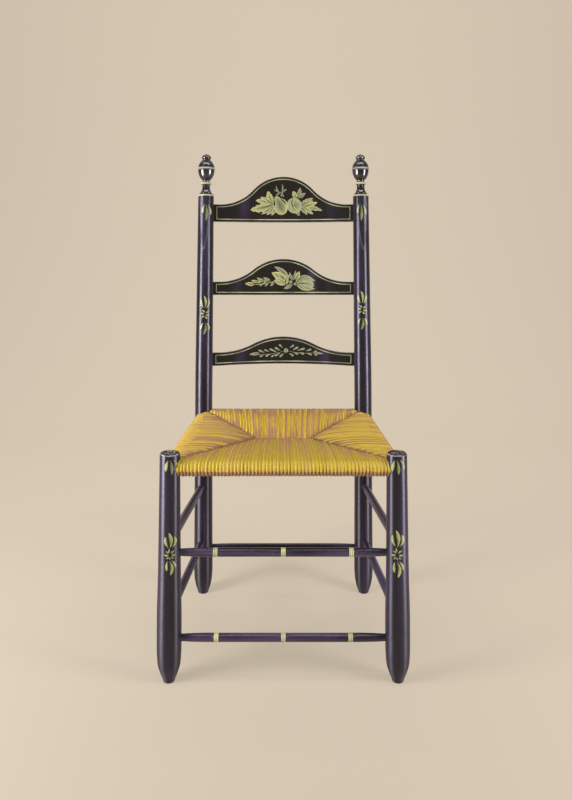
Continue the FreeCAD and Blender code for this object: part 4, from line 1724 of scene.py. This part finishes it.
@dataclass(frozen=True)
class Luck:
    """How a course's strands differ: drawn once for the course, the same each run.

    Each strand has a height off the course and each gap between two strands a shift along the
    rail, in strands. Each half strand has a brown spike at the seam, as a share of its depth.
    The height's range is in millimetres. The spike's is its least share and what luck adds, and
    the rarer spikes are, the fewer of them are long.
    """

    heights: list[float]
    shifts: list[float]
    spikes: list[float]
    height_range: ClassVar[Pair] = (-0.25, 0.30)
    shift_range: ClassVar[Pair] = (-0.10, 0.10)
    spike_range: ClassVar[Pair] = (0.04, 0.50)
    spike_rarity: ClassVar[float] = 2.2

    @classmethod
    def drawn(cls, seed: int, strands: int) -> "Luck":
        """Draw a course's luck.

        Args:
            seed: the course's own number.
            strands: how many strands it has.

        Returns:
            The luck.
        """
        luck = Random(seed)
        heights = [luck.uniform(*cls.height_range) * MM for _ in range(strands + 1)]
        shifts = [luck.uniform(*cls.shift_range) for _ in range(strands - 1)]
        least, more = cls.spike_range
        spikes = [least + more * luck.random() ** cls.spike_rarity
                  for _ in range(strands * 2 + 2)]
        return cls(heights, [0.0, *shifts, 0.0], spikes)


@dataclass(frozen=True)
class Column:
    """One column of points of a course: a loop round the rail, at one place on a strand.

    The start and the way are in plan, (along the rail, inwards). The lengths are measured along
    the loop, once round. The hollow sinks the column into the groove between two strands.
    """

    strand: int
    start: Vector
    way: Vector
    depth: float
    loop: list[Vector]
    lengths: list[float]
    hollow: float
    lift: float
    spike: float


@dataclass(frozen=True)
class RushCourse:
    """One course of rush cord, wound over its rail from seam to seam.

    Every strand is a closed loop that runs from the seam over the seat, round the rail and back
    underneath. The strands stand side by side along the rail and fan in a little at the seam.
    The rush is browner in spikes from the seams; under the roll it has painted shade, and
    beside the rail painted light on some courses and painted shade on others.
    The wave is the unevenness along a strand: its noise runs by the first number along the
    strand, by the second from strand to strand, at the depth of the third.
    """

    name: str
    rail: tuple[Vector, Vector]
    seams: list[Vector]
    material: Material = field(repr=False)
    # Beside the rail: painted light on some courses, painted shade on others.
    edge_shade: float
    edge_share: float
    # Under the roll: painted shade.
    under_shade: float = 1.35
    seat_thickness: float = 0.017
    roll_radius: float = 0.0148
    swell: float = 0.0065
    pitch: float = 0.0066
    groove: float = 0.0024
    roundness: float = 0.96
    unevenness: float = 0.35 * MM
    wave: Triple = (30, 3.7, 1.3)
    highest: float = 0.3 * MM
    least_spike: float = 4 * MM
    spike_fade: float = 0.6
    fan: float = 0.16
    seam_dip: float = 0.0042
    dip_reach: float = 0.0042
    shallow_dip: float = 0.35
    crowding: float = 1.35
    seam_gap: float = 0.0002
    fill: float = 0.9
    strand_segments: int = 6
    top_steps: int = 20
    roll_steps: int = 12
    under_steps: int = 10

    @cached_property
    def way(self) -> Vector:
        """The direction along the rail."""
        return (self.rail[1] - self.rail[0]).normalized()

    @cached_property
    def inward(self) -> Vector:
        """The level direction from the rail to the middle of the seat."""
        return UP.cross(self.way)

    @cached_property
    def ends(self) -> Pair:
        """Where the course starts and ends along its rail."""
        return self.flat(self.seams[0]).x, self.flat(self.seams[-1]).x

    @cached_property
    def deepest(self) -> float:
        """How far the course reaches in from its rail."""
        return max(self.flat(seam).y for seam in self.seams)

    @cached_property
    def strands(self) -> int:
        """How many turns of cord lie side by side."""
        return round((self.ends[1] - self.ends[0]) / self.pitch)

    @property
    def columns(self) -> int:
        """How many steps the mesh has along the rail."""
        return self.strands * self.strand_segments

    @property
    def rows(self) -> int:
        """How many points a loop has."""
        return self.top_steps + self.roll_steps + 1 + self.under_steps

    @cached_property
    def luck(self) -> Luck:
        """How the course's strands differ."""
        return Luck.drawn(len(self.name) * 31 + self.columns, self.strands)

    def flat(self, point: Vector) -> Vector:
        """Return a point's distance along the rail and inwards from it."""
        offset = point - self.rail[0]
        return Vector((offset.dot(self.way), offset.dot(self.inward)))

    def seam_at(self, along: float) -> tuple[Vector, float]:
        """Find where a strand that starts on the rail meets the seam.

        Args:
            along: the strand's place on the rail.

        Returns:
            The meeting point in plan, and the height of the seam there.
        """
        first, last = self.ends
        middle, half = (first + last) / 2, (last - first) / 2
        start = Vector((along, 0))
        end = start + Vector((self.fan * (middle - along) / half, 1.0))
        for low, high in zip(self.seams, self.seams[1:]):
            a, b = self.flat(low), self.flat(high)
            hit = geometry.intersect_line_line_2d(start, end, a, b)
            if hit is not None:
                share = (hit - a).length / (b - a).length
                return hit, low.z + (high.z - low.z) * share
        nearest = min((self.seams[0], self.seams[-1]), key=lambda s: (self.flat(s) - start).length)
        return self.flat(nearest), nearest.z

    def dip(self, distance: float, reach: float) -> float:
        """Give how far the cord is pulled in at a distance from the seam."""
        full = self.seam_dip * (self.shallow_dip + (1 - self.shallow_dip) * reach)
        return full * math.exp(-(distance / self.dip_reach) ** 1.5)

    def loop(self, depth: float, top: float, bottom: float, reach: float) -> list[Vector]:
        """Draw a strand's loop as (inwards, height) points above the rail's axis.

        Args:
            depth: the distance from rail to seam.
            top: the height of the seam's top.
            bottom: the height of the seam's foot.
            reach: the depth as a share of the course's deepest.

        Returns:
            The loop's points, from the seam's top round to its foot.
        """
        roll = self.roll_radius
        depth -= self.seam_gap
        middle = (top + roll) / 2 + self.swell * reach
        sink, crest = 2 * (roll + top - 2 * middle), 4 * middle - 3 * roll - top
        points = []
        for step in range(self.top_steps):
            u = 1 - (step / self.top_steps) ** self.crowding
            arc = roll + crest * u + sink * u * u
            points.append(Vector((depth * u, arc - self.dip((1 - u) * depth, reach))))
        for step in range(self.roll_steps + 1):
            angle = math.pi * step / self.roll_steps
            points.append(Vector((-roll * math.sin(angle), roll * math.cos(angle))))
        for step in range(1, self.under_steps + 1):
            u = step / self.under_steps
            rise = self.dip((1 - u) * depth, reach)
            points.append(Vector((depth * u, -roll + (bottom + roll) * u + rise)))
        return points

    def column(self, place: float) -> Column:
        """Work out how the points at one place of the course lie.

        Args:
            place: the place along the course, in strands from its start.

        Returns:
            The column.
        """
        first, last = self.ends
        strand = min(int(place), self.strands - 1)
        share = place - strand
        low = strand + self.luck.shifts[strand]
        high = strand + 1 + self.luck.shifts[strand + 1]
        along = first + (last - first) * (low + (high - low) * share) / self.strands
        hit, seam_top = self.seam_at(along)
        start = Vector((along, 0))
        depth, reach = (hit - start).length, hit.y / self.deepest
        seam_foot = self.seams[len(self.seams) // 2].z - self.seat_thickness - self.rail[0].z
        bottom = (seam_foot + self.roll_radius) * reach - self.roll_radius
        loop = self.loop(depth, seam_top - self.rail[0].z, bottom, reach)
        lengths = [0.0]
        for a, b in zip(loop, loop[1:] + loop[:1]):
            lengths.append(lengths[-1] + (b - a).length)
        aside = (2 * share - 1) ** 2
        return Column(strand, start, (hit - start).normalized(), depth, loop, lengths,
                      hollow=self.groove * (1 - math.sqrt(1 - self.roundness * aside)),
                      lift=self.luck.heights[strand] * (1 - aside),
                      spike=depth * self.luck.spikes[int(place * 2)] + self.least_spike)

    def point(self, column: Column, row: int) -> Vector:
        """Find a point of the course's mesh, ribbed and a little uneven.

        Args:
            column: the point's column.
            row: its number round the loop.

        Returns:
            The point in the chair's frame.
        """
        loop = column.loop
        before, here, after = loop[row - 1], loop[row], loop[(row + 1) % self.rows]
        if row == 0:
            before = here + (here - after)
        if row == self.rows - 1:
            after = here + (here - before)
        tangent = (after - before).normalized()
        normal = Vector((tangent.y, -tangent.x)) * -1
        along, across, slice_ = self.wave
        spot = Vector((column.lengths[row] * along, column.strand * across, slice_))
        wave = noise.noise(spot) * self.unevenness
        point = here + normal * (min(column.lift + wave, self.highest) - column.hollow)
        plan = column.start + column.way * point.x
        return self.rail[0] + self.way * plan.x + self.inward * plan.y + UP * point.y

    def brown_and_shade_at(self, column: Column, row: int) -> float:
        """Work out how brown the rush is at a point, with its painted light and shade.

        Args:
            column: the point's column.
            row: its number round the loop.

        Returns:
            The value, from -1 for the yellowest rush to the shade under the roll for the brownest.
        """
        here = column.loop[row]
        seam = max(0.0, 1 - (column.depth - here.x) / column.spike) ** self.spike_fade
        # Beside the rail painted light and shade, under the roll painted shade.
        beside = max(0.0, 1 - here.x / (column.depth * self.edge_share + MM))
        under = min(1.0, max(0.0, -here.y / (3 * MM)))
        wear_and_painted_light = max(seam, under * self.under_shade)
        wear_and_painted_light += self.edge_shade * min(1.0, beside * 2) * (1 - under)
        return min(1 + (self.under_shade - 1) * under, max(-1.0, wear_and_painted_light))

    def wound(self) -> BMesh:
        """Wind the course: a grid of strands by loop points, laid out, ribbed and closed.

        Returns:
            The mesh, in place, with the UV map `cord` and its browning and painted shade.
        """
        bm = bmesh.new()
        grid = bm.verts.layers.float_vector.new("grid")
        age = bm.verts.layers.float.new("age")
        cord = bm.loops.layers.uv.new("cord")
        made = bmesh.ops.create_grid(bm, x_segments=self.columns, y_segments=self.rows, size=0.5)
        by_column: dict[int, list[BMVert]] = {}
        for vert in made["verts"]:
            spot = ((vert.co.x + 0.5) * self.columns, (vert.co.y + 0.5) * self.rows, 0)
            vert[grid] = Vector(spot)
            by_column.setdefault(round(vert[grid].x), []).append(vert)
        lengths: dict[BMVert, float] = {}
        for number, verts in by_column.items():
            column = self.column(number / self.strand_segments)
            for vert in verts:
                turn = round(vert[grid].y)
                vert.co = self.point(column, turn % self.rows)
                vert[age] = self.brown_and_shade_at(column, turn % self.rows)
                lengths[vert] = column.lengths[turn]
        for corner in (corner for face in bm.faces for corner in face.loops):
            corner[cord].uv = (lengths[corner.vert], corner.vert[grid].x / self.strand_segments)
        bmesh.ops.remove_doubles(bm, verts=bm.verts, dist=SAME_PLACE)
        close(bm)
        return bm

    def build(self, nodes: tuple[str, ...]) -> None:
        """Build the course in place of the CAD nodes given."""
        course = enter(stand(self.wound(), self.name + "_wound", self.material), "rush", *nodes)


# The chair's sub-assemblies.


@dataclass(frozen=True)
class Posts:
    """The four posts with their sprigs.

    The painter drew the right front sprig taller than the left one, and the right rear sprig
    some millimetres higher.
    """

    layout: Layout
    finishes: Finishes = field(repr=False)
    front_growth: float = 1.12
    rear_raise: float = 11

    def build(self) -> None:
        """Build the posts, side by side."""
        lay, finishes = self.layout, self.finishes
        FrontPost(lay, Side.LEFT, finishes).build()
        RearPost(lay, Side.LEFT, finishes).build()
        FrontPost(lay, Side.RIGHT, finishes, sprig_growth=self.front_growth).build()
        RearPost(lay, Side.RIGHT, finishes, sprig_raise=self.rear_raise).build()


@dataclass(frozen=True)
class Stretchers:
    """The seven stretchers: two in front with bands, one behind and two on each side.

    The front ones are given by name, height and gap, and the side ones by name, height at the
    front post and height at the rear post.
    """

    layout: Layout
    finishes: Finishes = field(repr=False)
    front: tuple[tuple[str, float, float], ...] = (
        ("lower", 0.088, 0.0237), ("upper", 0.260, 0.0202),
    )
    bands: tuple[float, ...] = (-0.129, 0.0, 0.129)
    rear_height: float = 0.109
    rear_gap: float = 0.0215
    sides: tuple[tuple[str, float, float], ...] = (
        ("lower", 0.134, 0.129), ("upper", 0.280, 0.262),
    )
    side_gap: float = 0.021

    def build(self) -> None:
        """Build the stretchers from front to sides."""
        lay, paint, line = self.layout, self.finishes.level, self.finishes.line
        left, right = Side.LEFT, Side.RIGHT
        for level, height, gap in self.front:
            Stretcher("front_stretcher_" + level, lay.front_axis(left, height),
                      lay.front_axis(right, height), paint, line, gap, self.bands).build()
        Stretcher("rear_stretcher", lay.rear_axis(left, self.rear_height),
                  lay.rear_axis(right, self.rear_height), paint, line, self.rear_gap).build()
        for side in Side:
            for level, front, rear in self.sides:
                Stretcher("side_stretcher_" + level + "_" + side.tag,
                          lay.front_axis(side, front), lay.rear_axis(side, rear),
                          self.finishes.endwise, line, self.side_gap).build()


@dataclass(frozen=True)
class Back:
    """The three slats of the back with their borders and stencils."""

    layout: Layout
    finishes: Finishes = field(repr=False)

    def build(self) -> None:
        """Build the slats from the top one down."""
        lay, finishes = self.layout, self.finishes
        Slat("slat_top", lay, finishes, rise=0.452, end=0.041, crown=0.1085, arch=0.0,
             strokes=FRUIT).build()
        Slat("slat_middle", lay, finishes, rise=0.281, end=0.031, crown=0.0855, arch=0.0,
             strokes=FLOWERS).build()
        Slat("slat_bottom", lay, finishes, rise=0.116, end=0.031, crown=0.068, arch=0.004,
             strokes=LAUREL).build()


@dataclass(frozen=True)
class Seat:
    """The seat: four courses that meet on seams, over rails and pegs that keep their solids.

    The seams run in from the corners to the bridge, which is the level seam between the front
    and rear courses. A corner lies inside its post's axis by a share of the post's radius. The
    edges give the painted shade beside each seat edge, which is painted light below zero, and the
    share of the course it covers.
    """

    layout: Layout
    finishes: Finishes = field(repr=False)
    corner_share: float = 0.62
    bridge_half: float = 0.056
    bridge_depth: float = 0.1715
    bridge_drop: float = 0.0125
    # Painted shade beside each edge, painted light where it is below zero.
    edges: ClassVar[dict[str, Pair]] = {
        "front": (-1.1, 0.24), "rear": (0.60, 0.45), "left": (-0.8, 0.16), "right": (0.25, 0.12),
    }

    @property
    def side_height(self) -> float:
        """The height of the side rails, which lie a little lower than the others."""
        return self.layout.rail_height - self.layout.rail_stagger

    def corner(self, post: Post, width: float, depth: float, inward: int) -> Vector:
        """Find where a seam starts, in a corner of the seat.

        Args:
            post: the post in the corner.
            width: the distance between the axes of this post and its mirror image.
            depth: how far the post's axis lies behind the front posts.
            inward: 1 where the seat lies behind the post, and -1 where it lies before it.

        Returns:
            The point in the chair's frame.
        """
        lay = self.layout
        inset = self.corner_share * read_run(post.outline, lay.rail_height)
        height = (lay.rail_height + self.side_height) / 2 + RushCourse.roll_radius
        return Vector((post.side.value * (width / 2 - inset),
                       depth + inward * inset - lay.origin_depth, height))

    def bridge(self, side: Side) -> Vector:
        """Find an end of the bridge.

        Args:
            side: the side of the chair.

        Returns:
            The point in the chair's frame.
        """
        lay = self.layout
        height = lay.rail_height + RushCourse.roll_radius - self.bridge_drop
        return Vector((side.value * self.bridge_half, self.bridge_depth - lay.origin_depth,
                       height))

    def build(self) -> None:
        """Wind the four courses over their rails, and dress the solids that stay."""
        lay, finishes, left, right = self.layout, self.finishes, Side.LEFT, Side.RIGHT
        front_left, front_right = (
            self.corner(FrontPost(lay, side, finishes), lay.width_front, 0.0, 1) for side in Side)
        rear_left, rear_right = (
            self.corner(RearPost(lay, side, finishes), lay.width_rear, lay.depth, -1)
            for side in Side)
        bridge_left, bridge_right = self.bridge(left), self.bridge(right)
        high, low = lay.rail_height, self.side_height
        front, rear = lay.front_axis, lay.rear_axis
        self.wind("front", (front(left, high), front(right, high)),
                  [front_left, bridge_left, bridge_right, front_right])
        self.wind("rear", (rear(right, high), rear(left, high)),
                  [rear_right, bridge_right, bridge_left, rear_left])
        self.wind("left", (rear(left, low), front(left, low)),
                  [rear_left, bridge_left, front_left])
        self.wind("right", (front(right, low), rear(right, low)),
                  [front_right, bridge_right, rear_right])
        for place in ("front", "rear"):
            self.dress("seat_rail_" + place, finishes.wood_across)
        for place in ("left", "right"):
            self.dress("seat_rail_" + place, finishes.wood_endwise)
            self.dress("slat_peg_" + place, finishes.endwise)

    def wind(self, place: str, rail: tuple[Vector, Vector], seams: list[Vector]) -> None:
        """Wind one course.

        Args:
            place: where it lies, in the pieces' names.
            rail: the two ends of its rail's axis.
            seams: the points of its seam, from the rail's start to its end.
        """
        course = RushCourse("rush_" + place, rail, seams, self.finishes.rush[place],
                            *self.edges[place])
        course.build(("rush_" + place, "stuffing_" + place))

    def dress(self, name: str, material: Material) -> None:
        """Give a rail or peg that keeps its solid the finish of its wood.

        Args:
            name: the CAD node.
            material: the finish.
        """
        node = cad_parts[name]
        node.data.materials.clear()
        node.data.materials.append(material)
        LOG.info("%s: keeps its solid", name)


# The studio.


@dataclass(frozen=True)
class Lamp:
    """A soft rectangular lamp: where it stands, its width and height, watts and aim."""

    name: str
    place: Triple
    size: Pair
    power: float
    aim: Triple = (0, 0, 0.5)

    def build(self) -> None:
        """Build the lamp and turn it to its aim."""
        data = bpy.data.lights.new(self.name, "AREA")
        data.shape = "RECTANGLE"
        data.size, data.size_y = self.size
        data.energy = self.power
        lamp = bpy.data.objects.new(self.name, data)
        lamp.location = self.place
        ray = Vector(self.aim) - Vector(self.place)
        lamp.rotation_euler = ray.to_track_quat("-Z", "Y").to_euler()
        bpy.context.scene.collection.objects.link(lamp)


@dataclass(frozen=True)
class Studio:
    """A pale sweep, soft lamps and the camera at the drawing's point of view.

    The sweep's paper is lit as any paper, but for the camera and in reflections most of its tone
    is its own, so that it looks as even as the drawing's sheet and keeps a light shadow.
    """

    half_width: float = 6
    front: float = -4
    back: float = 3.5
    height: float = 5
    turn_radius: float = 2.2
    turn_steps: int = 24
    tone: Colour = (0.640, 0.550, 0.430, 1)
    own_share: float = 0.66
    floor_paper: Colour = (0.400, 0.344, 0.272, 1)
    back_paper: Colour = (0.760, 0.655, 0.535, 1)
    fade: Pair = (-0.6, 1.6)
    air: Colour = (1.0, 0.98, 0.95, 1)
    air_strength: float = 0.21
    lamps: tuple[Lamp, ...] = (
        Lamp("left strip", (-1.46, -0.74, 0.70), (0.62, 1.1), 58, (0, -0.1, 0.58)),
        Lamp("right strip", (1.46, -0.74, 0.70), (0.5, 1.1), 36, (0, -0.1, 0.58)),
        Lamp("overhead strip", (0.0, -0.45, 2.9), (3.2, 0.4), 33),
        Lamp("backdrop wash", (0.0, 1.0, 3.4), (5.0, 0.5), 44, (0, 3.5, 1.6)),
    )
    eye: Triple = (0.0, -1.5462, 0.9132)
    tilt: float = math.radians(6.305)
    lens: float = 33.19
    shift: Pair = (0.00325, -0.14)

    def paper(self) -> Material:
        """Build the sweep's paper.

        Returns:
            The material.
        """
        material, w = blank("studio paper")
        place = w.add("TexCoord").outputs["Object"]
        depth = w.add("SeparateXYZ", {0: place}).outputs["Y"]
        colour = w.blend(w.ramp(depth, *self.fade), self.floor_paper, self.back_paper)
        rays = w.add("LightPath").outputs
        seen = w.math("MAXIMUM", rays["Is Camera Ray"], w.math(
            "MAXIMUM", rays["Is Glossy Ray"], rays["Is Transmission Ray"]))
        own = w.times(seen, self.own_share)
        surface(material, {"Base Color": w.blend(own, colour, (0, 0, 0, 1)), "Roughness": 0.9,
                           "Specular IOR Level": 0.0, "Emission Color": self.tone,
                           "Emission Strength": own})
        return material

    def build_sweep(self) -> None:
        """Build the floor that turns up into a backdrop."""
        bm = bmesh.new()
        places = ((self.front, 0), (self.back, 0), (self.back, self.height))
        start, corner, top = (bm.verts.new((-self.half_width, y, z)) for y, z in places)
        bm.edges.new((start, corner))
        bm.edges.new((corner, top))
        bmesh.ops.bevel(bm, geom=[corner], offset=self.turn_radius, offset_type="OFFSET",
                        segments=self.turn_steps, profile=0.5, affect="VERTICES", material=-1)
        made = bmesh.ops.extrude_edge_only(bm, edges=bm.edges[:])
        far = [item for item in made["geom"] if isinstance(item, BMVert)]
        bmesh.ops.translate(bm, verts=far, vec=(2 * self.half_width, 0, 0))
        face_out(bm)
        stand(bm, "sweep", self.paper())

    def build_camera(self) -> None:
        """Set the camera up at the drawing's point of view."""
        data = bpy.data.cameras.new("camera")
        data.lens = self.lens
        data.shift_x, data.shift_y = self.shift
        camera = bpy.data.objects.new("camera", data)
        camera.location = self.eye
        camera.rotation_euler = (math.pi / 2 - self.tilt, 0, 0)
        bpy.context.scene.collection.objects.link(camera)
        bpy.context.scene.camera = camera

    def build(self) -> None:
        """Build the sweep, lamps, world and camera."""
        self.build_sweep()
        for lamp in self.lamps:
            lamp.build()
        world = bpy.data.worlds.new("studio air")
        bpy.context.scene.world = world
        world.use_nodes = True
        inputs = world.node_tree.nodes["Background"].inputs
        inputs["Color"].default_value = self.air
        inputs["Strength"].default_value = self.air_strength
        self.build_camera()
        bpy.context.scene.view_settings.view_transform = "Standard"


def main() -> None:
    """Build the chair and the studio."""
    logging.basicConfig(level=logging.INFO, format="%(message)s")
    low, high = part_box("front_stretcher_upper")
    layout = Layout(origin_depth=-(low.y + high.y) / 2)
    finishes = Finishes()
    for assembly in (Posts, Stretchers, Back, Seat):
        assembly(layout, finishes).build()
    Studio().build()


if __name__ == "__main__":
    main()
